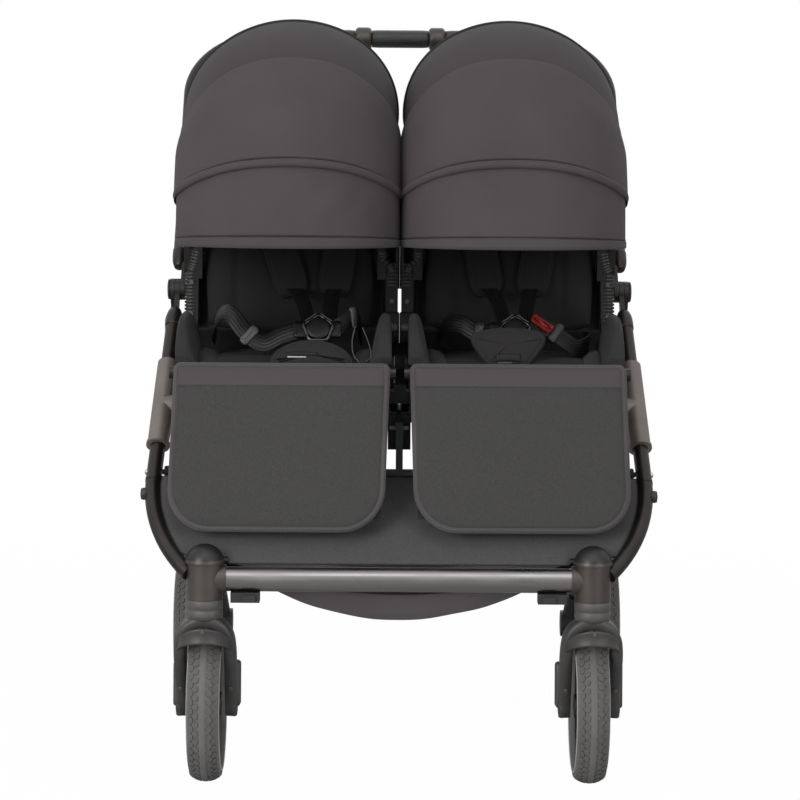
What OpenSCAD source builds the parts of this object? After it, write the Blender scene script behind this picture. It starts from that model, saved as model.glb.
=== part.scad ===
// Side by side double stroller with two reclining seats and a folding handle

/* [Wheels] */
// Length over the tyres
overall_len = 794; // [770:1:830]
// Distance between the two caster stems
caster_track = 536; // [526:1:544]
// Front tyre diameter
front_wheel_d = 216; // [206:1:220]
// Front tyre width
front_tyre_w = 44; // [38:1:46]
// Rear tyre diameter
rear_wheel_d = 236; // [226:1:244]
// Rear tyre width
rear_tyre_w = 46; // [40:1:50]
// Distance between the outer faces of the rear tyres
rear_track_outer = 704; // [696:1:716]
// Radial depth of a tyre
tyre_depth = 22; // [16:1:26]
// Number of spokes in a wheel
spoke_count = 10; // [6:1:12]
// Front axle diameter
front_axle_d = 10; // [8:1:12]
// Rear stub axle diameter
rear_axle_d = 12; // [10:1:14]
// Height of the rear cross tube
rear_cross_z = 202; // [194:1:208]
// Trail of the front axle behind its stem
caster_trail = 42; // [36:1:46]

/* [Frame] */
// Height of the main fold hinge
hinge_z = 670; // [655:1:685]
// Distance of the fold hinge behind the caster stems
hinge_back = 365; // [355:1:375]
// Distance from the outer side of a seat frame to the push tube axis
side_gap = 11.5; // [11:0.5:14]
// Front leg tube diameter
leg_d = 22; // [20:1:24]
// Push tube and handlebar diameter
push_d = 20; // [18:1:21]
// Rear leg tube diameter
rear_leg_d = 20; // [18:1:22]
// Front bar diameter
bar_d = 34; // [30:1:36]
// Height of the front bar axis
bar_z = 293; // [288:1:297]
// Wall of the hollow tubes
tube_wall = 1.8; // [1.2:0.1:2.4]
// Straight run of a front leg from the hinge
leg_straight = 361; // [350:1:372]
// Outward splay of a front leg at the end of its straight run
leg_splay = 15; // [12:1:18]
// Height at which a front leg enters its caster housing
leg_end_z = 305; // [300:1:308]
// Slope of the push tubes above horizontal
push_angle = 49; // [46:1:52]
// Length of the push tubes from the hinge to the handlebar axis
push_len = 511; // [500:1:522]
// Bend radius of the push tubes
push_bend_r = 120; // [90:1:140]
// Seat cross tube diameter
cross_d = 24; // [20:1:26]
// Distance of the cross tube down the leg from the hinge
cross_along = 226; // [216:1:236]

/* [Casters] */
// Caster housing diameter
housing_d = 50; // [48:1:54]
// Dome diameter on top of the housing
dome_d = 55; // [54:1:58]
// Height of the housing above its lower edge
housing_h = 51; // [48:1:54]
// Height of the dome
dome_h = 25; // [20:1:27]
// Height of the lower edge of the housing
housing_z = 266; // [262:1:270]
// Fork collar height under the housing
collar_h = 24; // [20:1:26]
// Width over the fork
fork_w = 86; // [82:1:90]
// Clear width between the fork blades
fork_gap = 52; // [50:1:54]
// Caster stem diameter
stem_d = 16; // [14:1:18]
// Travel of the swivel lock slider
lock_travel = 5; // [3:1:6]

/* [Seats] */
// Outer width of a seat frame
seat_w = 314; // [308:1:317]
// Clear space between the two seat frames
mid_gap = 15; // [13:1:18]
// Height of the recline axis
hub_z = 556; // [552:1:562]
// Distance of the recline axis ahead of the fold hinge
hub_ahead = 35; // [31:1:39]
// Recline hub diameter
hub_d = 80; // [70:1:84]
// Backrest slope above horizontal
back_angle = 68; // [64:1:72]
// Backrest length from the recline axis
back_len = 446; // [430:1:460]
// Backrest pad thickness
back_pad_t = 34; // [26:1:40]
// Seat cushion thickness at the edge
cushion_t = 26; // [20:1:32]
// Crown of the seat cushion
cushion_crown = 14; // [8:1:18]
// Height of the hip bolsters above the cushion
bolster_h = 70; // [60:1:74]
// Diameter of the seat rails
rail_d = 14; // [12:1:15]
// Height of the front seat rail
front_rail_z = 571; // [566:1:575]
// Distance of the front seat rail ahead of the recline axis
seat_depth = 245; // [240:1:250]
// Calf rest length
calf_len = 225; // [215:1:232]
// Calf rest thickness
calf_t = 18; // [14:1:22]
// Lean of the hanging calf rest from vertical
calf_lean = 13; // [10:1:18]
// Inset of a calf rest from the sides of its seat frame
calf_inset = 6; // [4:1:10]

/* [Canopies] */
// Height of the canopy pivots
pivot_z = 743; // [738:1:748]
// Distance of the canopy pivots behind the recline axis
pivot_behind = 30; // [26:1:34]
// Reach of the main canopy panel from its pivot
canopy_r = 333; // [326:1:338]
// Clear space between the two canopies
canopy_gap = 3; // [2:0.5:5]
// Canopy panel thickness
canopy_t = 2.6; // [2:0.2:3]
// Radial step from one nested panel to the next
canopy_step = 3.8; // [3.4:0.2:4.4]
// Rear edge angle of the canopy
canopy_rear_a = 86; // [84:1:90]
// Angle of the rear panel
rear_span = 38; // [34:1:40]
// Angle of the main panel
main_span = 37; // [34:1:39]
// Angle of the visor
visor_span = 20; // [16:1:22]
// Squareness of the canopy arch
arch_n = 2; // [1.9:0.1:2.3]
// Height of the canopy shoulders as a part of the reach
shoulder_part = 0.58; // [0.58:0.01:0.62]

/* [Basket] */
// Half width of the basket
basket_hw = 262; // [250:1:266]
// Lowest point of the basket
basket_low = 227; // [220:1:236]
// Rise of the basket edges
basket_rise = 95; // [85:1:105]
// Fabric thickness
cloth_t = 3; // [2:0.5:4]

/* [Hidden] */
$fn = 48;
gap = 0.3;
weld = 0.6;
bead = 6;
function bead_a(r) = bead / 4 / r * 180 / PI;
run = 0.05;

frame_c = [0.17, 0.15, 0.15];
plastic_c = [0.1, 0.1, 0.1];
cloth_c = [0.3, 0.28, 0.29];
dark_c = [0.12, 0.12, 0.13];
steel_c = [0.5, 0.47, 0.46];
tyre_c = [0.25, 0.25, 0.25];

front_r = front_wheel_d / 2;
rear_r = rear_wheel_d / 2;
caster_x = caster_track / 2;
front_axle_y = -overall_len / 2 + front_r;
stem_y = front_axle_y - caster_trail;
rear_axle_y = overall_len / 2 - rear_r;
hinge_y = stem_y + hinge_back;
rear_wheel_x = rear_track_outer / 2 - rear_tyre_w / 2;
lug_r = 66;
lug_t = 7;
lug_d = 32;
pin_d = 10;
seat_cx = (seat_w + mid_gap) / 2;
push_x = seat_cx + seat_w / 2 + side_gap;
hub_y = hinge_y - hub_ahead;
front_rail_y = hub_y - seat_depth;
pivot_y = hub_y + pivot_behind;
calf_w = seat_w - 2 * calf_inset;
canopy_hw = seat_cx - canopy_gap / 2;
tube_clear = 4;
canopy_face = push_x - push_d / 2 - tube_clear - seat_cx;
canopy_swell = canopy_hw - canopy_face;

// Front leg arc, from the end of the straight run into the housing
leg_drop = hinge_z - leg_end_z;
leg_angle = atan2(leg_drop, hinge_back);
leg_reach = norm([hinge_back, leg_drop]) + 5;
splay_a = asin(leg_splay / leg_straight);
leg_end = [caster_x + housing_d / 2 - 3 - push_x, -leg_reach];
leg_top = [leg_splay, -leg_straight * cos(splay_a)];
leg_dir = [sin(splay_a), -cos(splay_a)];
leg_chord = leg_end - leg_top;
half_bend = acos(leg_chord * leg_dir / norm(leg_chord));
leg_bend_a = 2 * half_bend;
leg_bend_r = norm(leg_chord) / (2 * sin(half_bend));

cross_y = hinge_y - cross_along * cos(leg_angle);
cross_z = hinge_z - cross_along * sin(leg_angle);
cross_leg_x = push_x + cross_along * sin(splay_a);
sleeve_d = leg_d + 9;
sleeve_top = 80;
sleeve_low = 74;

// Height above the hinge plane and distance along a rear leg
rear_dy = rear_axle_y - hinge_y;
rear_dz = rear_r - hinge_z;
rear_leg_a = atan2(rear_dz, rear_dy);
rear_leg_len = norm([rear_dy, rear_dz]);
axle_house_x = rear_wheel_x - rear_tyre_w / 2 - 24;
// Rear leg slice beside the hinge, its foot and the place of the rear cross tube on it
rear_slice = lug_t / 2 + 0.5;
rear_head = [rear_slice + lug_t / 2 + 3, lug_r, 0];
rear_foot = [axle_house_x - push_x, rear_leg_len - 16, 0];
rear_cross_part = (hinge_z - rear_cross_z) / (hinge_z - rear_r);
rear_cross_y = hinge_y + rear_dy * rear_cross_part;
rear_cross_along = rear_leg_len * rear_cross_part;
rear_cross_r = 11;
function rear_pt(d) = rear_head + (rear_foot - rear_head) * (d - lug_r) / (rear_foot[1] - lug_r);
rear_cross_x = push_x + rear_pt(rear_cross_along)[0];

rail_in = seat_cx - seat_w / 2 + rail_d / 2;
rail_out = seat_cx + seat_w / 2 - rail_d / 2;
disc_t = 6.5;
hub_r = hub_d / 2;
pad_w = seat_w - 2 * rail_d - 7;
calf_z = front_rail_z - rail_d / 2 - gap;
deck_t = 4;
boss_x = canopy_hw - canopy_swell - canopy_t - 2 * canopy_step - gap;
boss_t = 13;
back_crown = 8;
back_side = back_pad_t - 10;
deck_z = hub_z - rail_d / 2 - deck_t;
cushion_top = deck_z + deck_t + gap + cushion_t + cushion_crown;

module side(s) {
  if (s > 0) children();
  else mirror([1, 0, 0]) children();
}

module rod(p, q, r) {
  v = q - p;
  translate(p) rotate([0, acos(v[2] / norm(v)), atan2(v[1], v[0])]) cylinder(h = norm(v), r = r);
}

module along_x(x0, x1, y, z, r) {
  translate([x0, y, z]) rotate([0, 90, 0]) cylinder(h = x1 - x0, r = r);
}

// Flat shape in the side plane, made solid from x0 over the thickness t
module side_plate(x0, t) {
  translate([x0, 0, 0]) rotate([90, 0, 90]) linear_extrude(t) children();
}

module bar2d(p, q, r) {
  v = q - p;
  translate(p) circle(r);
  translate(q) circle(r);
  translate(p) rotate(atan2(v[1], v[0])) translate([0, -r]) square([norm(v), 2 * r]);
}

// Flat link with a round eye at p and a straight shank that ends at q
module link2d(p, q, r, half) {
  v = q - p;
  translate(p) circle(r);
  translate(p) rotate(atan2(v[1], v[0])) translate([0, -half]) square([norm(v), 2 * half]);
}

module at_hinge(a) {
  translate([push_x, hinge_y, hinge_z]) rotate([a, 0, 0]) children();
}

// Hinge plate in its own slice, with its web reaching along local +Y
module lug(x0, bore) {
  difference() {
    side_plate(x0, lug_t) union() {
      circle(d = lug_d);
      translate([0, -7]) square([lug_r + 14, 14]);
    }
    along_x(x0 - 1, x0 + lug_t + 1, 0, 0, bore / 2);
  }
}

// Soft pad with a crown, drawn-in sides and a flat back, centred on X and Y
module pillow(w, l, t, crown, draw, n = 10, groove = 0, bolster = 0) {
  u = [for (i = [0:n]) -1 + 2 * i / n];
  top = [for (j = [0:n]) for (i = [0:n]) [
    (w / 2 - draw * (1 - u[j] * u[j])) * u[i],
    (l / 2 - draw * (1 - u[i] * u[i])) * u[j],
    t * (1 - 0.35 * pow(max(abs(u[i]), abs(u[j])), 8))
      + crown * (1 - pow(u[i], 4)) * (1 - pow(u[j], 4))
      - groove * exp(-pow((abs(u[i]) - 0.5) * 9, 2)) * (1 - pow(u[j], 4))
      + bolster * exp(-pow((abs(u[i]) - 0.9) * 6.5, 4) - pow((u[j] + 0.25) * 1.5, 4)) * (1 - pow(u[j], 4))]];
  base = [for (p = top) [p[0], p[1], 0]];
  m = n + 1;
  k = m * m;
  quads = [for (j = [0:n - 1]) for (i = [0:n - 1]) [j * m + i, j * m + i + 1, j * m + i + 1 + m, j * m + i + m]];
  top_f = [for (q = quads) each [[q[0], q[2], q[1]], [q[0], q[3], q[2]]]];
  base_f = [for (q = quads) each [[q[0] + k, q[1] + k, q[2] + k], [q[0] + k, q[2] + k, q[3] + k]]];
  rim = concat([for (i = [0:n - 1]) i], [for (j = [0:n - 1]) j * m + n],
    [for (i = [n:-1:1]) n * m + i], [for (j = [n:-1:1]) j * m]);
  c = len(rim);
  wall = [for (i = [0:c - 1]) let (a = rim[i], b = rim[(i + 1) % c]) each [[a, b, b + k], [a, b + k, a + k]]];
  polyhedron(points = concat(top, base), faces = concat(top_f, base_f, wall));
}

// Front leg tube from its hinge lug to the caster housing, grown by g
module leg_path(g) {
  r = leg_d / 2 + g;
  at_hinge(leg_angle) rotate([0, 0, splay_a]) {
    translate([0, -lug_r, 0]) rotate([90, 0, 0]) cylinder(h = leg_straight - lug_r - bead / 4, r = r);
    translate([0, -leg_straight + bead / 2, 0]) rotate([90, 0, 0]) cylinder(h = bead, r = r + weld);
    translate([-leg_bend_r, -leg_straight, 0]) rotate([0, 0, -leg_bend_a])
      rotate_extrude(angle = leg_bend_a - bead_a(leg_bend_r), $fn = 96) translate([leg_bend_r, 0]) circle(r);
  }
}

module front_leg(s) {
  color(frame_c) side(s) {
    leg_path(0);
    at_hinge(leg_angle + 180) lug(-lug_t / 2, pin_d + 2 * run);
  }
}

module left_front_leg() { front_leg(-1); }
module right_front_leg() { front_leg(1); }

module front_bar() {
  end = caster_x - housing_d / 2 + 5;
  color(steel_c) difference() {
    along_x(-end, end, stem_y, bar_z, bar_d / 2);
    along_x(-end - 1, end + 1, stem_y, bar_z, bar_d / 2 - tube_wall);
  }
}

module caster_housing(s) {
  ball = (pow(dome_d / 2, 2) + dome_h * dome_h) / (2 * dome_h);
  top = housing_z + housing_h;
  color(frame_c) side(s) difference() {
    union() {
      translate([caster_x, stem_y, housing_z]) cylinder(h = housing_h, d = housing_d);
      translate([caster_x, stem_y, top - 1]) cylinder(h = 1, d = dome_d);
      translate([caster_x, stem_y, top]) intersection() {
        translate([0, 0, dome_h - ball]) sphere(ball);
        cylinder(h = dome_h + 1, d = dome_d);
      }
      along_x(caster_x - housing_d / 2 - 5, caster_x, stem_y, bar_z, bar_d / 2 + 3);
    }
    translate([caster_x, stem_y, housing_z - 1]) cylinder(h = housing_h + 11, d = stem_d + 2 * run);
    along_x(caster_x - housing_d, caster_x - housing_d / 2 + 5 + 0.1, stem_y, bar_z, bar_d / 2 + 0.1);
    leg_path(0.1);
    translate([caster_x, stem_y, housing_z - 20]) cylinder(h = 20, d = dome_d + 20);
  }
}

module left_caster_housing() { caster_housing(-1); }
module right_caster_housing() { caster_housing(1); }

module seat_cross_tube() {
  end = cross_leg_x - leg_d / 2 - 1;
  color(frame_c) difference() {
    along_x(-end, end, cross_y, cross_z, cross_d / 2);
    along_x(-end - 1, end + 1, cross_y, cross_z, cross_d / 2 - tube_wall);
  }
}

// Sleeve on each front leg that holds the end of the cross tube
module side_brackets() {
  color(plastic_c) for (s = [-1, 1]) side(s) difference() {
    union() {
      at_hinge(leg_angle) rotate([0, 0, splay_a]) translate([0, -cross_along + sleeve_top, 0])
        rotate([90, 0, 0]) cylinder(h = sleeve_top + sleeve_low, d = sleeve_d);
      at_hinge(leg_angle) rotate([0, 0, splay_a]) translate([0, -cross_along - sleeve_low + 6, 0])
        rotate([90, 0, 0]) cylinder(h = 5, d = sleeve_d + 3);
      along_x(cross_leg_x - leg_d / 2 - 22, cross_leg_x, cross_y, cross_z, cross_d / 2 + 4);
    }
    leg_path(0.1);
    along_x(cross_leg_x - leg_d / 2 - 40, cross_leg_x - leg_d / 2 - 0.9, cross_y, cross_z, cross_d / 2 + 0.1);
  }
}

// Clamps on the cross tube under the seat rails, the hub between the seats and the centre post to the panel rod
module seat_saddles() {
  rail_low = hub_z - rail_d / 2 - gap;
  w = 30;
  rod_along = leg_straight - 15;
  post_low = hinge_z - rod_along * sin(leg_angle) + 4 + gap;
  post_y = hinge_y - rod_along * cos(leg_angle);
  color(plastic_c) difference() {
    union() {
      translate([-rail_in - rail_d / 2, cross_y - w / 2, cross_z - 20])
        cube([2 * rail_in + rail_d, w, rail_low - cross_z + 20 - deck_t]);
      translate([-rail_in - 2, cross_y - 10, cross_z - 60]) cube([2 * rail_in + 4, 20, 44]);
      side_plate(-5, 10) bar2d([cross_y, cross_z + 18], [hub_y, hub_z], 10);
      along_x(-mid_gap / 2 + gap, mid_gap / 2 - gap, hub_y, hub_z, hub_r - 2);
      translate([-5, post_y - 4, post_low]) cube([10, 8, cross_z - post_low - 15]);
      translate([-5, post_y - 4, cross_z - 20]) cube([10, cross_y - post_y, 8]);
      for (s = [-1, 1]) side(s) translate([rail_out - rail_d / 2 - 16, cross_y - w / 2, cross_z - 20])
        cube([rail_d, w, rail_low - cross_z + 20 - deck_t]);
    }
    along_x(-push_x, push_x, cross_y, cross_z, cross_d / 2 + 0.1);
  }
}

// Points of the panel edge beside a leg, in the plane of the legs
function turn(p, a) = [p[0] * cos(a) - p[1] * sin(a), p[0] * sin(a) + p[1] * cos(a)];
function leg_edge(t, off) = turn([-leg_bend_r + (leg_bend_r - off) * cos(t), -leg_straight - (leg_bend_r - off) * sin(t)], splay_a);

// Felt panel stretched from its rod down to the front bar
module footwell_panel() {
  off = leg_d / 2 + 5;
  rod_along = leg_straight - 15;
  rod_x = push_x + rod_along * sin(splay_a) - leg_d / 2 - gap;
  bar_v = [stem_y - hinge_y, bar_z - hinge_z];
  low = bar_v[0] * cos(leg_angle) + bar_v[1] * sin(leg_angle) + bar_d / 2 + gap;
  in_x = caster_x - dome_d / 2 - 4;
  edge = [for (t = [0:4:32]) leg_edge(t, off) + [push_x, 0]];
  keep = [for (p = edge) if (p[1] > low + 38) p];
  last = keep[len(keep) - 1];
  right = concat([[keep[0][0], -rod_along - 4]], keep, [[in_x, last[1] - 6], [in_x, low]]);
  left = [for (i = [len(right) - 1:-1:0]) [-right[i][0], right[i][1]]];
  color(dark_c) translate([0, hinge_y, hinge_z]) rotate([leg_angle, 0, 0]) {
    translate([0, 0, -2.5]) linear_extrude(5) polygon(concat(right, left));
    translate([-rod_x, -rod_along, 0]) rotate([0, 90, 0]) cylinder(h = 2 * rod_x, r = 4);
  }
}

function sling(x) = basket_low + basket_rise * pow(x / basket_hw, 2);
basket_step = basket_hw / 8;
function sling_in(x) = let (u = x / (1 - cloth_t / basket_hw) / basket_step, k = floor(u))
  cloth_t + sling(k * basket_step) + (sling((k + 1) * basket_step) - sling(k * basket_step)) * (u - k);

// Sagging sling with end walls and an open top
module basket() {
  front_y = stem_y + bar_d / 2 + 10;
  back_y = 170;
  xs = [for (i = [0:16]) -basket_hw + i * basket_step];
  under = [for (x = xs) [x, sling(x)]];
  inner = [for (i = [16:-1:0]) [xs[i] * (1 - cloth_t / basket_hw), sling(xs[i]) + cloth_t]];
  rim = basket_low + 36;
  color(dark_c) {
    translate([0, back_y, 0]) rotate([90, 0, 0]) linear_extrude(back_y - front_y) polygon(concat(under, inner));
    for (y = [front_y, back_y - cloth_t])
      translate([0, y + cloth_t, 0]) rotate([90, 0, 0]) linear_extrude(cloth_t) intersection() {
        polygon(under);
        translate([-basket_hw, 0]) square([2 * basket_hw, rim]);
      }
  }
}

// Webbing that hangs the basket from the front bar and from the seat decks
module basket_straps() {
  x = basket_hw * 0.78;
  front_y = stem_y + bar_d / 2 + gap;
  foot = sling_in(x) + gap;
  xr = basket_hw - 12;
  rear_z = sling_in(xr + 2) + gap;
  top_y = hub_y - hub_r - 30;
  color(dark_c) for (s = [-1, 1]) side(s) {
    translate([x - 24, front_y, foot]) cube([24, 2, bar_z + 5 - foot]);
    translate([x - 24, front_y, foot]) cube([24, 34, 2]);
    side_plate(xr, 2) polygon([[126, rear_z], [154, rear_z], [top_y + 14, deck_z - gap], [top_y - 14, deck_z - gap]]);
  }
}

// Rails, deck and fixed recline plates of one seat
module seat_frame(s) {
  start = hub_y - hub_r - 4;
  r = rail_d / 2;
  inset = 1.5;
  color(frame_c) side(s) difference() {
    union() {
      for (x = [rail_in, rail_out]) {
        rod([x, start, hub_z], [x, front_rail_y, front_rail_z], r);
        along_x(x - r - 1.5, x + r + 1.5, front_rail_y, front_rail_z, r + 2);
      }
      along_x(rail_in + r + 0.5, rail_out - r - 0.5, front_rail_y, front_rail_z, r);
      for (x = [rail_in - r, rail_out + r - disc_t]) {
        along_x(x, x + disc_t, hub_y, hub_z, hub_r);
        translate([x + 1, start - 14, hub_z - 5]) cube([disc_t - 2, hub_r + 18, 10]);
      }
      translate([rail_in - r + inset, front_rail_y + 3, deck_z])
        cube([rail_out - rail_in + rail_d - 2 * inset, start - front_rail_y - 6, deck_t]);
      for (x = [rail_in, rail_out]) {
        translate([x - 2, front_rail_y + 14, deck_z + 1]) cube([4, 30, front_rail_z - deck_z - 4]);
        translate([x - 3, start - 40, deck_z + 1]) cube([6, 30, hub_z - deck_z - 2]);
      }
    }
    for (x = [rail_in - rail_d, rail_out - rail_d]) along_x(x, x + 2 * rail_d, hub_y, hub_z, pin_d / 2 + run);
  }
}

module left_seat_frame() { seat_frame(-1); }
module right_seat_frame() { seat_frame(1); }

// Seat cushion with raised hip bolsters at its sides
module seat_cushion(s) {
  front = front_rail_y + rail_d / 2 + 8;
  l = hub_y + 14 - front;
  color(dark_c) side(s) translate([seat_cx, front + l / 2, deck_z + deck_t + gap])
    pillow(pad_w, l, cushion_t, cushion_crown, 3, 16, 0, bolster_h);
}

module left_seat_cushion() { seat_cushion(-1); }
module right_seat_cushion() { seat_cushion(1); }

buckle_y = front_rail_y + 74;
buckle_z = cushion_top + 37 - gap;
buckle_r = 24;
button_r = 16;
press = 3;
function buckle_x(s) = s > 0 ? seat_cx : seat_cx - 48;

module at_buckle(s) {
  side(s) translate([buckle_x(s), buckle_y, buckle_z]) rotate([62, 0, 0]) children();
}

// Crotch pad standing on the cushion, with the round buckle on its tongue
module buckle(s) {
  low = cushion_top;
  color(plastic_c) {
    side(s) translate([buckle_x(s) - 40, buckle_y + 6, low]) cube([80, 12, 22]);
    side(s) translate([buckle_x(s) - 12, buckle_y + 8, low + 10]) cube([24, 4, buckle_z - low - 10.5]);
    at_buckle(s) difference() {
      translate([0, 0, -7]) cylinder(h = 14, r = buckle_r);
      translate([0, 0, -7 + press]) cylinder(h = 20, r = button_r + gap);
    }
  }
}

module left_buckle() { buckle(-1); }
module right_buckle() { buckle(1); }

module buckle_button(s) {
  color(plastic_c) at_buckle(s) translate([0, 0, -7 + 2 * press]) cylinder(h = 10, r = button_r);
}

module left_buckle_button() { buckle_button(-1); }
module right_buckle_button() { buckle_button(1); }

// Webbing that lies across each seat, from its sides towards the buckle
module waist_straps() {
  z = cushion_top + gap;
  color(dark_c) for (s = [-1, 1]) side(s) {
    translate([seat_cx - 76, buckle_y + 44, z]) cube([58, 25, 2]);
    translate([seat_cx + 18, buckle_y + 44, z]) cube([58, 25, 2]);
  }
}

module fold_pins() {
  color(steel_c) for (s = [-1, 1]) side(s) {
    half = 1.5 * lug_t + 1;
    along_x(push_x - half, push_x + half, hinge_y, hinge_z, pin_d / 2);
    for (x = [push_x - half - 1.5, push_x + half]) along_x(x, x + 1.5, hinge_y, hinge_z, pin_d / 2 + 4);
  }
}

module swivel_lock(s) {
  z = bar_z - bar_d / 2 - gap;
  x1 = caster_x - housing_d / 2 - lock_travel - 6;
  color(plastic_c) side(s) {
    translate([x1 - 40, stem_y - 12, z - 14]) cube([40, 24, 14]);
    translate([x1 - 34, stem_y - 16, z - 12]) cube([18, 6, 9]);
  }
}

module left_swivel_lock() { swivel_lock(-1); }
module right_swivel_lock() { swivel_lock(1); }

module at_calf(s) {
  side(s) translate([seat_cx, front_rail_y, front_rail_z]) rotate([-calf_lean, 0, 0]) children();
}

// Board of the calf rest with hinge barrels round the front rail
module calf_board(s) {
  r = rail_d / 2;
  color(plastic_c) at_calf(s) difference() {
    union() {
      translate([-calf_w / 2 + 12, -r - 4, -calf_len + 20]) cube([calf_w - 24, 4, calf_len - 20]);
      for (x = [-calf_w / 2 + 30, calf_w / 2 - 60]) along_x(x, x + 30, 0, 0, r + 4);
    }
    along_x(-calf_w, calf_w, 0, 0, r + run);
  }
}

module left_calf_board() { calf_board(-1); }
module right_calf_board() { calf_board(1); }

// Padded calf rest with rounded lower corners
module calf_pad(s) {
  r = rail_d / 2;
  corner = 60;
  low = -calf_len;
  high = 12;
  color(cloth_c) at_calf(s) translate([0, -r - 4 - gap, 0]) rotate([90, 0, 0]) {
    intersection() {
      translate([0, (low + high) / 2, 0]) pillow(calf_w, high - low, calf_t - 5, 5, 1.5, 12);
      translate([0, 0, -1]) linear_extrude(calf_t + 10) union() {
        translate([-calf_w / 2, low + corner]) square([calf_w, high - low - corner]);
        translate([-calf_w / 2 + corner, low]) square([calf_w - 2 * corner, 2 * corner]);
        for (x = [-1, 1]) translate([x * (calf_w / 2 - corner), low + corner]) circle(corner);
      }
    }
  }
}

module left_calf_pad() { calf_pad(-1); }
module right_calf_pad() { calf_pad(1); }

module push_tube(s) {
  r = push_d / 2;
  color(frame_c) side(s) at_hinge(push_angle) {
    translate([0, lug_r, 0]) rotate([-90, 0, 0]) cylinder(h = push_len - push_bend_r - lug_r, r = r);
    translate([-push_bend_r, push_len - push_bend_r, 0])
      rotate_extrude(angle = 90, $fn = 96) translate([push_bend_r, 0]) circle(r);
    lug(-1.5 * lug_t - 0.5, pin_d + 2 * run);
  }
}

module left_push_tube() { push_tube(-1); }
module right_push_tube() { push_tube(1); }

handle_y = hinge_y + push_len * cos(push_angle);
handle_z = hinge_z + push_len * sin(push_angle);
handle_end = push_x - push_bend_r;
grip_r = push_d / 2 + 4.5;
collar_x = 59;
collar_w = 26;

module handlebar() {
  color(frame_c) along_x(-handle_end, handle_end, handle_y, handle_z, push_d / 2);
}

// Padded grips on both sides of the collars and a middle sleeve with a slider track
module handle_grips() {
  mid = collar_x - collar_w / 2 - gap;
  color(plastic_c) difference() {
    union() {
      along_x(-mid, mid, handle_y, handle_z, grip_r);
      translate([-30, handle_y, handle_z - 7]) cube([60, grip_r + 1, 14]);
      for (s = [-1, 1]) side(s) along_x(collar_x + collar_w / 2 + gap, handle_end - 6, handle_y, handle_z, grip_r);
    }
    along_x(-handle_end, handle_end, handle_y, handle_z, push_d / 2 + 0.1);
  }
}

module handle_collars() {
  r = grip_r + 4;
  e = 6;
  color(plastic_c) for (s = [-1, 1]) side(s) translate([collar_x, handle_y, handle_z]) rotate([0, 90, 0]) difference() {
    rotate_extrude() union() {
      translate([0, -collar_w / 2]) square([r - e, collar_w]);
      translate([0, -collar_w / 2 + e]) square([r, collar_w - 2 * e]);
      for (y = [-1, 1]) translate([r - e, y * (collar_w / 2 - e)]) circle(e);
    }
    cylinder(h = 2 * collar_w, r = push_d / 2 + 0.1, center = true);
  }
}

module fold_slider() {
  color(plastic_c) translate([-16, handle_y + grip_r + 1 + gap, handle_z - 6]) cube([24, 4, 12]);
}

module at_rear(a) {
  translate([push_x, hinge_y, hinge_z]) rotate([a, 0, 0]) children();
}

module rear_leg(s) {
  color(frame_c) side(s) at_rear(rear_leg_a) {
    lug(rear_slice, pin_d + 2 * run);
    rod(rear_head, rear_foot, rear_leg_d / 2);
  }
}

module left_rear_leg() { rear_leg(-1); }
module right_rear_leg() { rear_leg(1); }

// Blocks at the feet of the rear legs and clamps that hold the cross tube
module axle_housings() {
  color(plastic_c) for (s = [-1, 1]) side(s) difference() {
    union() {
      along_x(axle_house_x - 17, axle_house_x + 17, rear_axle_y, rear_r, 21);
      at_rear(rear_leg_a) rod(rear_pt(rear_leg_len - 54), rear_pt(rear_leg_len - 4), rear_leg_d / 2 + 4);
      at_rear(rear_leg_a) rod(rear_pt(rear_cross_along - 24), rear_pt(rear_cross_along + 20), rear_leg_d / 2 + 3);
      along_x(rear_cross_x - 34, rear_cross_x, rear_cross_y, rear_cross_z, rear_cross_r + 4);
    }
    at_rear(rear_leg_a) rod(rear_head, rear_foot, rear_leg_d / 2 + 0.1);
    along_x(axle_house_x - 12.1, rear_wheel_x + 4, rear_axle_y, rear_r, rear_axle_d / 2 + 0.1);
    along_x(0, rear_cross_x - rear_leg_d / 2 - 0.9, rear_cross_y, rear_cross_z, rear_cross_r + 0.1);
  }
}

// Cross tube between the rear legs, and a stub axle through each rear wheel
module rear_axle() {
  end = rear_wheel_x + rear_tyre_w / 2 + 1;
  tube = rear_cross_x - rear_leg_d / 2 - 1;
  color(frame_c) {
    difference() {
      along_x(-tube, tube, rear_cross_y, rear_cross_z, rear_cross_r);
      along_x(-tube - 1, tube + 1, rear_cross_y, rear_cross_z, rear_cross_r - tube_wall);
    }
    for (s = [-1, 1]) side(s) {
      along_x(axle_house_x - 12, end + 1, rear_axle_y, rear_r, rear_axle_d / 2);
      along_x(end, end + 3, rear_axle_y, rear_r, rear_axle_d / 2 + 4);
    }
  }
}

// Foot pedal that turns on the rear cross tube
module brake_pedal() {
  color(plastic_c) difference() {
    union() {
      along_x(90, 150, rear_cross_y, rear_cross_z, rear_cross_r + 5);
      translate([96, rear_cross_y + 6, rear_cross_z + 2]) rotate([14, 0, 0]) cube([48, 62, 8]);
    }
    along_x(80, 160, rear_cross_y, rear_cross_z, rear_cross_r + run);
  }
}

module tyre(s, x, y, r, w) {
  in = r - tyre_depth;
  color(tyre_c) side(s) translate([x, y, r]) rotate([0, 90, 0]) rotate_extrude($fn = 96) difference() {
    intersection() {
      translate([r - 0.72 * w, 0]) circle(0.72 * w);
      translate([in, -w / 2]) square([tyre_depth, w]);
    }
    for (k = [-1, 1]) translate([r - 1.6, k * w * 0.14 - 1]) square([3, 2]);
  }
}

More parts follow.
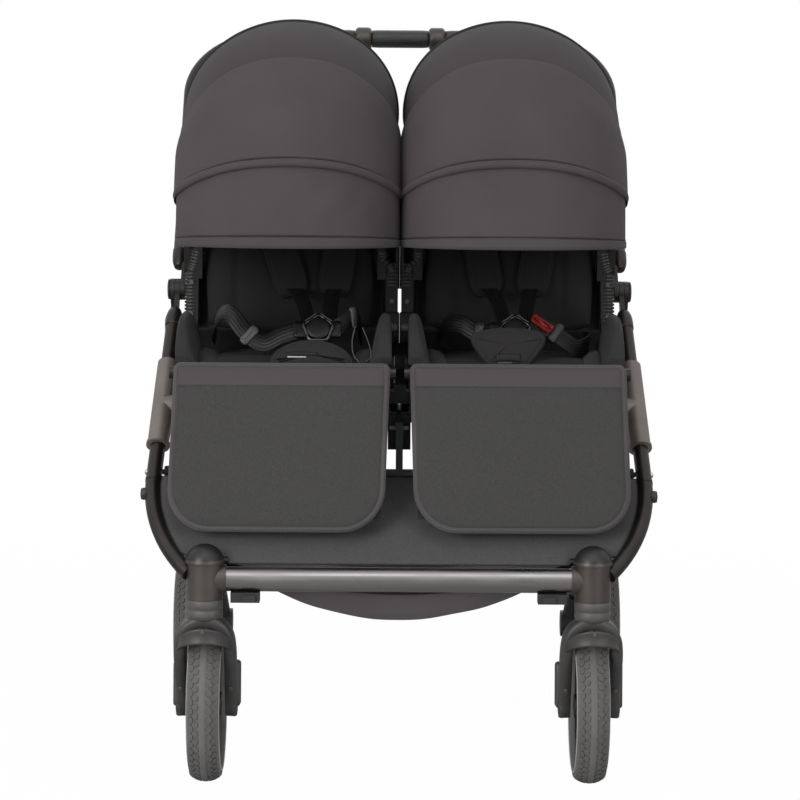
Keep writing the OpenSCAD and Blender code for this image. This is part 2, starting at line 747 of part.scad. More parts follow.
module rim(s, x, y, r, w, bore) {
  outer = r - tyre_depth - 0.1;
  color(plastic_c) side(s) translate([x, y, r]) rotate([0, 90, 0]) difference() {
    union() {
      rotate_extrude($fn = 96) translate([outer - 8, -w * 0.32]) square([8, w * 0.64]);
      cylinder(h = w - 2, r = 17, center = true);
      for (k = [0:spoke_count - 1]) rotate([0, 0, k * 360 / spoke_count])
        translate([12, -3, -4]) cube([outer - 16, 6, 8]);
    }
    cylinder(h = 2 * w, d = bore + 2 * run, center = true);
  }
}

module left_front_tyre() { tyre(-1, caster_x, front_axle_y, front_r, front_tyre_w); }
module right_front_tyre() { tyre(1, caster_x, front_axle_y, front_r, front_tyre_w); }
module left_front_rim() { rim(-1, caster_x, front_axle_y, front_r, front_tyre_w, front_axle_d); }
module right_front_rim() { rim(1, caster_x, front_axle_y, front_r, front_tyre_w, front_axle_d); }
module left_rear_tyre() { tyre(-1, rear_wheel_x, rear_axle_y, rear_r, rear_tyre_w); }
module right_rear_tyre() { tyre(1, rear_wheel_x, rear_axle_y, rear_r, rear_tyre_w); }
module left_rear_rim() { rim(-1, rear_wheel_x, rear_axle_y, rear_r, rear_tyre_w, rear_axle_d); }
module right_rear_rim() { rim(1, rear_wheel_x, rear_axle_y, rear_r, rear_tyre_w, rear_axle_d); }

// Fork with stem, arched crown, blades, axle covers, fender and axle
module fork(s) {
  top = housing_z - gap;
  low = housing_z - collar_h;
  half = fork_w / 2;
  inner = fork_gap / 2;
  blade = 7;
  arch = 28;
  roof = 2 * front_r + 5;
  axle = [caster_trail, front_r];
  color(plastic_c) side(s) translate([caster_x, stem_y, 0]) {
    difference() {
      union() {
        translate([0, 0, low - 4]) cylinder(h = top - low + 4, d = housing_d);
        translate([0, 0, low]) cylinder(h = housing_h + collar_h + 8, d = stem_d);
        translate([0, 22, 0]) rotate([90, 0, 0]) linear_extrude(42) difference() {
          union() {
            translate([-half, front_r + 62]) square([2 * half, low - front_r - 62 - arch]);
            translate([-half + arch, low - arch]) square([2 * half - 2 * arch, arch]);
            for (k = [-1, 1]) translate([k * (half - arch), low - arch]) circle(arch);
          }
          translate([-inner, 0]) square([2 * inner, roof]);
        }
        for (k = [-1, 1]) side(k) {
          side_plate(inner, blade) bar2d([2, front_r + 78], axle, 13);
          side_plate(inner + blade, half - inner - blade) bar2d([12, front_r + 56], axle, 16);
        }
        translate([0, -8, 2 * front_r - 11]) rotate([0, 0, 180])
          rotate_extrude(angle = 180, $fn = 96) translate([inner + 8, 0]) square([4, 27]);
      }
      along_x(-fork_w, fork_w, axle[0], axle[1], front_axle_d / 2 + 0.02);
    }
    along_x(-half - 3, half + 3, axle[0], axle[1], front_axle_d / 2);
    for (k = [-1, 1]) side(k) along_x(half + gap, half + 3, axle[0], axle[1], front_axle_d / 2 + 3);
  }
}

module left_fork() { fork(-1); }
module right_fork() { fork(1); }

module at_back(s) {
  side(s) translate([0, hub_y, hub_z]) rotate([back_angle - 90, 0, 0]) children();
}

// Reclining hub plates, bent tube and canopy arms of one seat
module backrest_frame(s) {
  t = 8;
  in = rail_in - rail_d / 2 + disc_t + gap;
  out = rail_out + rail_d / 2 - disc_t - gap - t;
  tube_r = 6.5;
  lo = hub_r + 4;
  bend = 60;
  xi = in + t / 2;
  xo = out + t / 2;
  arm_w = 18;
  arm_out = seat_w / 2 - 2.5;
  arm_in = (seat_w + mid_gap) / 2 - 2.5;
  boss = boss_x;
  arm_r = 8;
  up = [cos(back_angle), sin(back_angle)];
  low = [hub_y, hub_z] + (lo + 18) * up + (arm_r + tube_r + gap) * [-up[1], up[0]];
  high = [pivot_y, pivot_z];
  knee = [pivot_y - 1, pivot_z - 46];
  color(frame_c) side(s) union() {
    translate([0, hub_y, hub_z]) rotate([back_angle - 90, 0, 0]) difference() {
      union() {
        for (x = [in, out]) {
          along_x(x, x + t, 0, 0, hub_r - 2);
          translate([x + 1, -5, 0]) cube([t - 2, 10, lo + 16]);
        }
        for (x = [xi, xo]) {
          translate([x, 0, lo]) cylinder(h = back_len - bend - lo - bead / 4, r = tube_r);
          translate([x, 0, back_len - bend - bead / 2]) cylinder(h = bead, r = tube_r + weld);
        }
        along_x(xi + bend + bead / 4, xo - bend - bead / 4, 0, back_len, tube_r);
        for (x = [xi + bend, xo - bend]) along_x(x - bead / 2, x + bead / 2, 0, back_len, tube_r + weld);
        for (k = [0, 1]) translate([k == 0 ? xo - bend : xi + bend, 0, back_len - bend]) rotate([90, 0, 0])
          rotate([0, 0, 90 * k + bead_a(bend)]) rotate_extrude(angle = 90 - 2 * bead_a(bend), $fn = 64)
            translate([bend, 0]) circle(tube_r);
      }
      for (x = [in, out]) along_x(x - 1, x + t + 1, 0, 0, pin_d / 2 + run);
    }
    for (x = [rail_in - rail_d / 2, rail_out + rail_d / 2 - disc_t - t - gap])
      along_x(x, x + disc_t + t + gap, hub_y, hub_z, pin_d / 2);
    for (k = [-1, 1]) translate([seat_cx, 0, 0]) side(k) {
      arm_x = k > 0 ? arm_out : arm_in;
      side_plate(arm_x - arm_w, arm_w) link2d(low, knee, arm_r, 6.5);
      side_plate(boss - boss_t + 1, arm_x - boss + boss_t - 2) translate(knee - [6, 7]) square([12, 22]);
      side_plate(boss - boss_t, boss_t) link2d(high, knee - [0, 10], 12, 9);
      along_x(boss - 2, canopy_hw - canopy_swell, high[0], high[1], 4);
    }
  }
}

module left_backrest_frame() { backrest_frame(-1); }
module right_backrest_frame() { backrest_frame(1); }

// Padded liner in front of the backrest tube and the cover panel behind it
module backrest_pad(s) {
  low = 48;
  l = back_len - low + 2;
  w = seat_w - 2 * disc_t;
  color(dark_c) at_back(s) {
    translate([seat_cx, -7 - gap, low + l / 2]) rotate([90, 0, 0])
      pillow(2 * (boss_x - boss_t - gap), l, back_side, back_crown, 3, 12, 2);
    translate([seat_cx - w / 2, 7 + gap, low]) cube([w, cloth_t, l]);
  }
}

module left_backrest_pad() { backrest_pad(-1); }
module right_backrest_pad() { backrest_pad(1); }

// Pair of shoulder pads that lean towards the buckle
module shoulder_pads(s) {
  at = 0.58 * back_len;
  out = 0.15 * seat_w;
  color(dark_c) at_back(s) for (k = [-1, 1])
    translate([seat_cx + k * out, -7 - 2 * gap - back_side - back_crown, at]) rotate([90, 0, 0]) rotate([0, 0, -k * 8])
      pillow(0.17 * seat_w, 0.43 * back_len, 7, 4, 0.5, 6);
}

module left_shoulder_pads() { shoulder_pads(-1); }
module right_shoulder_pads() { shoulder_pads(1); }

// Half of the arch profile of a canopy panel, as radius and place across the seat
neck_r = 31;
swell_r = [0.42 * canopy_r, 0.57 * canopy_r];
function ease(t) = t * t * (3 - 2 * t);
function half_arch(hw, h) = let (base = shoulder_part * canopy_r) concat(
  [[neck_r, hw - canopy_swell]],
  [for (i = [0:5]) let (t = i / 5) [swell_r[0] + (swell_r[1] - swell_r[0]) * t, hw - canopy_swell * (1 - ease(t))]],
  [for (i = [0:10]) let (a = 9 * i) [base + (h - base) * pow(sin(a), 2 / arch_n), hw * pow(cos(a), 2 / arch_n)]]);

// Panel of the canopy swept about its pivot axis, with a pivot disc at each side
module canopy_panel(s, shrink, a0, span) {
  hw = canopy_hw - shrink;
  h = canopy_r - shrink;
  face = hw - canopy_swell;
  over = half_arch(hw, h);
  under = half_arch(hw - canopy_t, h - canopy_t);
  n = len(over) - 1;
  outer = concat(over, [for (i = [n - 1:-1:0]) [over[i][0], -over[i][1]]]);
  inner = concat([for (p = under) [p[0], -p[1]]], [for (i = [n - 1:-1:0]) under[i]]);
  color(cloth_c) side(s) translate([seat_cx, pivot_y, pivot_z]) rotate([90, 0, 90]) {
    rotate([0, 0, a0]) rotate_extrude(angle = span, $fn = 96) polygon(concat(outer, inner));
    for (z = [face - canopy_t, -face]) translate([0, 0, z]) difference() {
      union() {
        cylinder(h = canopy_t, r = 13);
        rotate([0, 0, a0 + span / 2]) translate([0, -6, 0]) cube([neck_r + 13, 12, canopy_t]);
      }
      translate([0, 0, -1]) cylinder(h = canopy_t + 2, r = 4 + run);
    }
  }
}

module left_canopy_rear() { canopy_panel(-1, 2 * canopy_step, canopy_rear_a, rear_span); }
module right_canopy_rear() { canopy_panel(1, 2 * canopy_step, canopy_rear_a, rear_span); }
module left_canopy_main() { canopy_panel(-1, 0, canopy_rear_a + rear_span - 1, main_span); }
module right_canopy_main() { canopy_panel(1, 0, canopy_rear_a + rear_span - 1, main_span); }
module left_visor() { canopy_panel(-1, canopy_step, canopy_rear_a + rear_span + main_span - 2, visor_span); }
module right_visor() { canopy_panel(1, canopy_step, canopy_rear_a + rear_span + main_span - 2, visor_span); }

left_front_leg();
right_front_leg();
front_bar();
left_caster_housing();
right_caster_housing();
seat_cross_tube();
side_brackets();
seat_saddles();
footwell_panel();
basket();
basket_straps();
left_seat_frame();
right_seat_frame();
left_seat_cushion();
right_seat_cushion();
left_buckle();
right_buckle();
waist_straps();
fold_pins();
left_swivel_lock();
right_swivel_lock();
left_buckle_button();
right_buckle_button();
left_calf_board();
left_calf_pad();
right_calf_board();
right_calf_pad();
left_push_tube();
right_push_tube();
handlebar();
handle_grips();
handle_collars();
fold_slider();
left_rear_leg();
right_rear_leg();
rear_axle();
axle_housings();
brake_pedal();
left_fork();
left_front_tyre();
left_front_rim();
right_fork();
right_front_tyre();
right_front_rim();
left_rear_tyre();
left_rear_rim();
right_rear_tyre();
right_rear_rim();
left_backrest_frame();
left_backrest_pad();
left_shoulder_pads();
left_canopy_rear();
left_canopy_main();
left_visor();
right_backrest_frame();
right_backrest_pad();
right_shoulder_pads();
right_canopy_rear();
right_canopy_main();
right_visor();
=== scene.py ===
import math
import bpy
import bmesh
from mathutils import Matrix, Vector, noise


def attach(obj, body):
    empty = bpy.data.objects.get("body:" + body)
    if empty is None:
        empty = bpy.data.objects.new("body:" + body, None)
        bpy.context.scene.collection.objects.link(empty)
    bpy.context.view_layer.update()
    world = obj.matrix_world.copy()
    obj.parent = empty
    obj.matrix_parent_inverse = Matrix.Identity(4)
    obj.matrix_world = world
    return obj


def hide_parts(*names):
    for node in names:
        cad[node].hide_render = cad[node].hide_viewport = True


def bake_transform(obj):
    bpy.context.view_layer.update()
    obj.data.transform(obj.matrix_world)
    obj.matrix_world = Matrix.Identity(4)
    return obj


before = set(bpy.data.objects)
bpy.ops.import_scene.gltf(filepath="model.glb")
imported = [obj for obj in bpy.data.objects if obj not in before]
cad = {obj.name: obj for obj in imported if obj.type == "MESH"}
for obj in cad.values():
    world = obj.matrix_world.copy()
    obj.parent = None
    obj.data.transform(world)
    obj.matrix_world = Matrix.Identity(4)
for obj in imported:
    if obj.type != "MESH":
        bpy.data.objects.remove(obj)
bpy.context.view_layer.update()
scene = bpy.context.scene
scene.view_settings.view_transform = "Standard"
sides = (("left", -1), ("right", 1))

# places of the frame, in metres
seatX = 0.1645
pushX = 0.333
hubPoint = Vector((0, -0.001, 0.556))
railPoint = Vector((0, -0.246, 0.571))
pivotPoint = Vector((0, 0.029, 0.743))
hingePoint = Vector((0, 0.034, 0.670))
stemPoint = Vector((0.268, -0.331, 0.293))
frontAxle = Vector((0.268, -0.289, 0.108))
rearAxle = Vector((0.329, 0.279, 0.118))
handlePoint = Vector((0, 0.369, 1.0557))
backTilt = math.radians(68)
calfTilt = math.radians(13)


# camera and light

viewSettings = {"place": (-0.020, -3.931, 0.918), "pitch": 5.95, "yaw": 0.315, "roll": 0.4, "lens": 118.8}


def makeCamera(s):
    data = bpy.data.cameras.new("photoCamera")
    data.lens = s["lens"]
    data.sensor_width = 36
    data.clip_end = 50
    camera = bpy.data.objects.new("photoCamera", data)
    scene.collection.objects.link(camera)
    turn = Matrix.Rotation(-math.radians(s["yaw"]), 4, "Z") @ Matrix.Rotation(math.radians(90 - s["pitch"]), 4, "X")
    camera.matrix_world = Matrix.Translation(s["place"]) @ turn @ Matrix.Rotation(math.radians(s["roll"]), 4, "Z")
    scene.camera = camera


lightSettings = {
    "world": 0.28, "shine": (0.45, 1.2),  # shine is what glossy surfaces see low down and high up
    "lamps": [  # name, place, aim, size, watts
        ("keyLamp", (-2.3, -3.2, 1.6), (0, 0, 0.55), 1.8, 80),
        ("fillLamp", (2.2, -3.2, 1.2), (0, 0, 0.5), 1.8, 30),
        ("topLamp", (0, -2.0, 2.9), (0, 0, 0.5), 1.6, 15),
        ("backLamp", (0.6, 2.8, 2.2), (0, 0, 0.7), 1.6, 8),
    ],
}


def wire(tree, kind, props=None, **ins):
    made = tree.nodes.new(kind)
    for key, value in (props or {}).items():
        setattr(made, key, value)
    for key, value in ins.items():
        socket = made.inputs[int(key[1:])] if key[0] == "i" and key[1:].isdigit() else made.inputs[key.replace("_", " ")]
        if isinstance(value, bpy.types.NodeSocket):
            tree.links.new(value, socket)
        else:
            socket.default_value = value
    return made


def makeLight(s):
    world = bpy.data.worlds.new("studioWorld")
    scene.world = world
    world.use_nodes = True
    tree = world.node_tree
    tree.nodes.clear()
    path = wire(tree, "ShaderNodeLightPath")
    seen = wire(tree, "ShaderNodeMath", {"operation": "ADD", "use_clamp": True}, i0=path.outputs["Is Camera Ray"],
                i1=path.outputs["Is Transmission Ray"])
    way = wire(tree, "ShaderNodeSeparateXYZ", Vector=wire(tree, "ShaderNodeTexCoord").outputs["Generated"])
    shine = wire(tree, "ShaderNodeMapRange", Value=way.outputs["Z"], From_Min=-0.1, From_Max=0.7, To_Min=s["shine"][0],
                 To_Max=s["shine"][1])
    level = wire(tree, "ShaderNodeMix", {"data_type": "FLOAT"}, i0=path.outputs["Is Glossy Ray"], i2=s["world"], i3=shine.outputs[0])
    light = wire(tree, "ShaderNodeBackground", Color=(1, 1, 1, 1), Strength=level.outputs[0])
    white = wire(tree, "ShaderNodeBackground", Color=(1, 1, 1, 1), Strength=1.0)
    both = wire(tree, "ShaderNodeMixShader", Fac=seen.outputs[0], i1=light.outputs[0], i2=white.outputs[0])
    wire(tree, "ShaderNodeOutputWorld", Surface=both.outputs[0])
    for name, place, aim, size, watts in s["lamps"]:
        data = bpy.data.lights.new(name, "AREA")
        data.size = size
        data.energy = watts
        lamp = bpy.data.objects.new(name, data)
        lamp.location = place
        lamp.rotation_euler = (Vector(aim) - Vector(place)).to_track_quat("-Z", "Y").to_euler()
        scene.collection.objects.link(lamp)


def makeFloor():
    mesh = bpy.data.meshes.new("studioFloor")
    ring = [Vector((6 * math.cos(k * math.pi / 32), 6 * math.sin(k * math.pi / 32), -0.0005)) for k in range(64)]
    mesh.from_pydata(ring, [], [list(range(64))])
    floor = bpy.data.objects.new("studioFloor", mesh)
    scene.collection.objects.link(floor)
    mat = bpy.data.materials.new("paleFloor")
    mat.use_nodes = True
    tree = mat.node_tree
    tree.nodes.clear()
    path = wire(tree, "ShaderNodeLightPath")
    cloth = wire(tree, "ShaderNodeBsdfDiffuse", Color=(0.8, 0.8, 0.8, 1))
    glow = wire(tree, "ShaderNodeEmission", Color=(1, 1, 1, 1), Strength=1.0)
    share = wire(tree, "ShaderNodeMath", {"operation": "MULTIPLY"}, i0=path.outputs["Is Camera Ray"], i1=0.985)
    both = wire(tree, "ShaderNodeMixShader", Fac=share.outputs[0], i1=cloth.outputs[0], i2=glow.outputs[0])
    place = wire(tree, "ShaderNodeTexCoord")
    far = wire(tree, "ShaderNodeVectorMath", {"operation": "LENGTH"}, i0=place.outputs["Object"])
    fade = wire(tree, "ShaderNodeMapRange", Value=far.outputs["Value"], From_Min=1.2, From_Max=3.0)
    clear = wire(tree, "ShaderNodeBsdfTransparent")
    out = wire(tree, "ShaderNodeMixShader", Fac=fade.outputs[0], i1=both.outputs[0], i2=clear.outputs[0])
    wire(tree, "ShaderNodeOutputMaterial", Surface=out.outputs[0])
    mesh.materials.append(mat)


makeCamera(viewSettings)
makeLight(lightSettings)
makeFloor()
print("camera, light and floor ready")


# finishes

def startFinish(name, rough, metal=0.0, **more):
    mat = bpy.data.materials.new(name)
    mat.use_nodes = True
    tree = mat.node_tree
    shader = tree.nodes["Principled BSDF"]
    shader.inputs["Roughness"].default_value = rough
    shader.inputs["Metallic"].default_value = metal
    for key, value in more.items():
        shader.inputs[key.replace("_", " ")].default_value = value
    return mat, tree, shader


def tone(colour):
    return (colour[0], colour[1], colour[2], 1)


def blendTones(tree, factor, low, high):
    mix = wire(tree, "ShaderNodeMix", {"data_type": "RGBA"})
    tree.links.new(factor, mix.inputs[0])
    mix.inputs[6].default_value = tone(low)
    mix.inputs[7].default_value = tone(high)
    return mix.outputs[2]


def stretch(tree, value, low, high, outLow=0.0, outHigh=1.0):
    return wire(tree, "ShaderNodeMapRange", Value=value, From_Min=low, From_Max=high, To_Min=outLow, To_Max=outHigh).outputs[0]


def bumpOn(tree, shader, height, distance, strength=1.0, under=None):
    bump = wire(tree, "ShaderNodeBump", Height=height, Distance=distance, Strength=strength)
    if under is not None:
        tree.links.new(under, bump.inputs["Normal"])
    tree.links.new(bump.outputs[0], shader.inputs["Normal"])
    return bump.outputs[0]


def overlay(tree, mask, under, colour):  # plain colour laid over another where the mask is one
    mix = wire(tree, "ShaderNodeMix", {"data_type": "RGBA"})
    tree.links.new(mask, mix.inputs[0])
    tree.links.new(under, mix.inputs[6])
    mix.inputs[7].default_value = tone(colour)
    return mix.outputs[2]


def paintedMetal(name, dark, light, rough, metal, cap=None):
    mat, tree, shader = startFinish(name, rough, metal)
    place = wire(tree, "ShaderNodeTexCoord").outputs["Object"]
    cloud = wire(tree, "ShaderNodeTexNoise", Vector=place, Scale=26, Detail=5).outputs[0]
    speck = wire(tree, "ShaderNodeTexNoise", Vector=place, Scale=1900, Detail=2).outputs[0]
    shade = blendTones(tree, stretch(tree, cloud, 0.3, 0.7), dark, light)
    if cap:  # darker dome above a height
        height = wire(tree, "ShaderNodeSeparateXYZ", Vector=place).outputs["Z"]
        shade = overlay(tree, wire(tree, "ShaderNodeMath", {"operation": "GREATER_THAN"}, i0=height, i1=cap[0]).outputs[0], shade, cap[1])
    tree.links.new(shade, shader.inputs["Base Color"])
    tree.links.new(stretch(tree, cloud, 0.25, 0.75, rough - 0.07, rough + 0.07), shader.inputs["Roughness"])
    bumpOn(tree, shader, speck, 0.00012, 0.5)
    return mat


def brushedMetal(name, dark, light, rough):
    mat, tree, shader = startFinish(name, rough, 1.0)
    place = wire(tree, "ShaderNodeTexCoord").outputs["Object"]
    lines = wire(tree, "ShaderNodeMapping", Vector=place, Scale=(3.0, 900, 900)).outputs[0]
    grain = wire(tree, "ShaderNodeTexNoise", Vector=lines, Scale=1.0, Detail=4).outputs[0]
    cloud = wire(tree, "ShaderNodeTexNoise", Vector=place, Scale=14, Detail=3).outputs[0]
    tree.links.new(blendTones(tree, stretch(tree, grain, 0.3, 0.7), dark, light), shader.inputs["Base Color"])
    tree.links.new(stretch(tree, cloud, 0.3, 0.7, rough - 0.06, rough + 0.08), shader.inputs["Roughness"])
    bumpOn(tree, shader, grain, 0.00006, 0.5)
    return mat


def mouldedPlastic(name, dark, light, rough, grain=900, depth=0.00016, **more):
    mat, tree, shader = startFinish(name, rough, 0.0, **more)
    place = wire(tree, "ShaderNodeTexCoord").outputs["Object"]
    cells = wire(tree, "ShaderNodeTexVoronoi", {"feature": "SMOOTH_F1"}, Vector=place, Scale=grain).outputs[0]
    cloud = wire(tree, "ShaderNodeTexNoise", Vector=place, Scale=22, Detail=5).outputs[0]
    tree.links.new(blendTones(tree, stretch(tree, cloud, 0.3, 0.7), dark, light), shader.inputs["Base Color"])
    tree.links.new(stretch(tree, cloud, 0.25, 0.75, rough - 0.06, rough + 0.08), shader.inputs["Roughness"])
    bumpOn(tree, shader, cells, depth, 0.6)
    return mat


def wovenCloth(name, dark, light, pitch, depth, sheen, crease=0.0016, fleck=0.0, rough=0.86):
    mat, tree, shader = startFinish(name, rough, 0.0, Sheen_Weight=sheen, Sheen_Roughness=0.45)
    coord = wire(tree, "ShaderNodeTexCoord")
    warp = wire(tree, "ShaderNodeTexWave", {"wave_type": "BANDS", "bands_direction": "X"}, Vector=coord.outputs["UV"],
                Scale=0.314 / pitch, Distortion=0.6, Detail=1).outputs["Fac"]
    weft = wire(tree, "ShaderNodeTexWave", {"wave_type": "BANDS", "bands_direction": "Y"}, Vector=coord.outputs["UV"],
                Scale=0.314 / pitch, Distortion=0.6, Detail=1).outputs["Fac"]
    weave = wire(tree, "ShaderNodeMath", {"operation": "MAXIMUM"}, i0=warp, i1=weft).outputs[0]
    cloud = wire(tree, "ShaderNodeTexNoise", Vector=coord.outputs["Object"], Scale=9, Detail=4).outputs[0]
    fibre = wire(tree, "ShaderNodeTexNoise", Vector=coord.outputs["Object"], Scale=1100, Detail=2).outputs[0]
    shade = wire(tree, "ShaderNodeMath", {"operation": "MULTIPLY_ADD"}, i0=weave, i1=0.25,
                 i2=stretch(tree, cloud, 0.3, 0.7, 0.1, 0.65)).outputs[0]
    if fleck:
        spark = stretch(tree, fibre, 0.52, 0.7, 0.0, fleck)
        shade = wire(tree, "ShaderNodeMath", {"operation": "ADD"}, i0=shade, i1=spark).outputs[0]
    tree.links.new(blendTones(tree, shade, dark, light), shader.inputs["Base Color"])
    folds = wire(tree, "ShaderNodeTexNoise", Vector=coord.outputs["Object"], Scale=13, Detail=3, Distortion=0.8).outputs[0]
    low = bumpOn(tree, shader, folds, crease, 0.6)
    low = bumpOn(tree, shader, fibre, depth, 0.4, low)
    bumpOn(tree, shader, weave, depth, 0.7, low)
    return mat


def feltCloth(name, dark, light, scale, fleckLow, fleckHigh, sheen, band=None):
    mat, tree, shader = startFinish(name, 0.92, 0.0, Sheen_Weight=sheen, Sheen_Roughness=0.5)
    place = wire(tree, "ShaderNodeTexCoord").outputs["Object"]
    fibre = wire(tree, "ShaderNodeTexNoise", Vector=place, Scale=scale, Detail=4, Roughness=0.7).outputs[0]
    hair = wire(tree, "ShaderNodeTexNoise", Vector=place, Scale=scale * 0.28, Detail=3, Distortion=2.5).outputs[0]
    both = wire(tree, "ShaderNodeMath", {"operation": "MULTIPLY_ADD"}, i0=hair, i1=0.5, i2=fibre).outputs[0]
    shade = blendTones(tree, stretch(tree, both, fleckLow, fleckHigh), dark, light)
    if band:  # plain cloth above a line of the flat pattern
        flat = wire(tree, "ShaderNodeSeparateXYZ", Vector=wire(tree, "ShaderNodeTexCoord").outputs["UV"])
        shade = overlay(tree, wire(tree, "ShaderNodeMath", {"operation": "GREATER_THAN"}, i0=flat.outputs["Y"],
                                   i1=band[0]).outputs[0], shade, band[1])
    tree.links.new(shade, shader.inputs["Base Color"])
    folds = wire(tree, "ShaderNodeTexNoise", Vector=place, Scale=9, Detail=3).outputs[0]
    low = bumpOn(tree, shader, folds, 0.0018, 0.5)
    bumpOn(tree, shader, both, 0.0003, 0.8, low)
    return mat


def ribbedWebbing(name, dark, light, pitch, rough=0.6):
    mat, tree, shader = startFinish(name, rough, 0.0, Sheen_Weight=0.01, Specular_IOR_Level=0.26)
    coord = wire(tree, "ShaderNodeTexCoord")
    ribs = wire(tree, "ShaderNodeTexWave", {"wave_type": "BANDS", "bands_direction": "Y"}, Vector=coord.outputs["UV"],
                Scale=0.314 / pitch, Distortion=0.3, Detail=1).outputs["Fac"]
    rows = wire(tree, "ShaderNodeTexWave", {"wave_type": "BANDS", "bands_direction": "X"}, Vector=coord.outputs["UV"],
                Scale=0.314 / (pitch * 3.4), Distortion=0.1, Detail=1).outputs["Fac"]
    weave = wire(tree, "ShaderNodeMath", {"operation": "MULTIPLY"}, i0=ribs, i1=rows).outputs[0]
    tree.links.new(blendTones(tree, weave, dark, light), shader.inputs["Base Color"])
    bumpOn(tree, shader, weave, 0.0004, 0.8)
    return mat


def grainedLeather(name, dark, light):
    mat, tree, shader = startFinish(name, 0.34, 0.0, Specular_IOR_Level=0.5)
    place = wire(tree, "ShaderNodeTexCoord").outputs["Object"]
    cells = wire(tree, "ShaderNodeTexVoronoi", {"feature": "DISTANCE_TO_EDGE"}, Vector=place, Scale=620).outputs[0]
    cloud = wire(tree, "ShaderNodeTexNoise", Vector=place, Scale=40, Detail=4).outputs[0]
    tree.links.new(blendTones(tree, stretch(tree, cloud, 0.3, 0.7), dark, light), shader.inputs["Base Color"])
    tree.links.new(stretch(tree, cloud, 0.3, 0.7, 0.26, 0.42), shader.inputs["Roughness"])
    bumpOn(tree, shader, stretch(tree, cells, 0.0, 0.18), 0.00025, 0.7)
    return mat


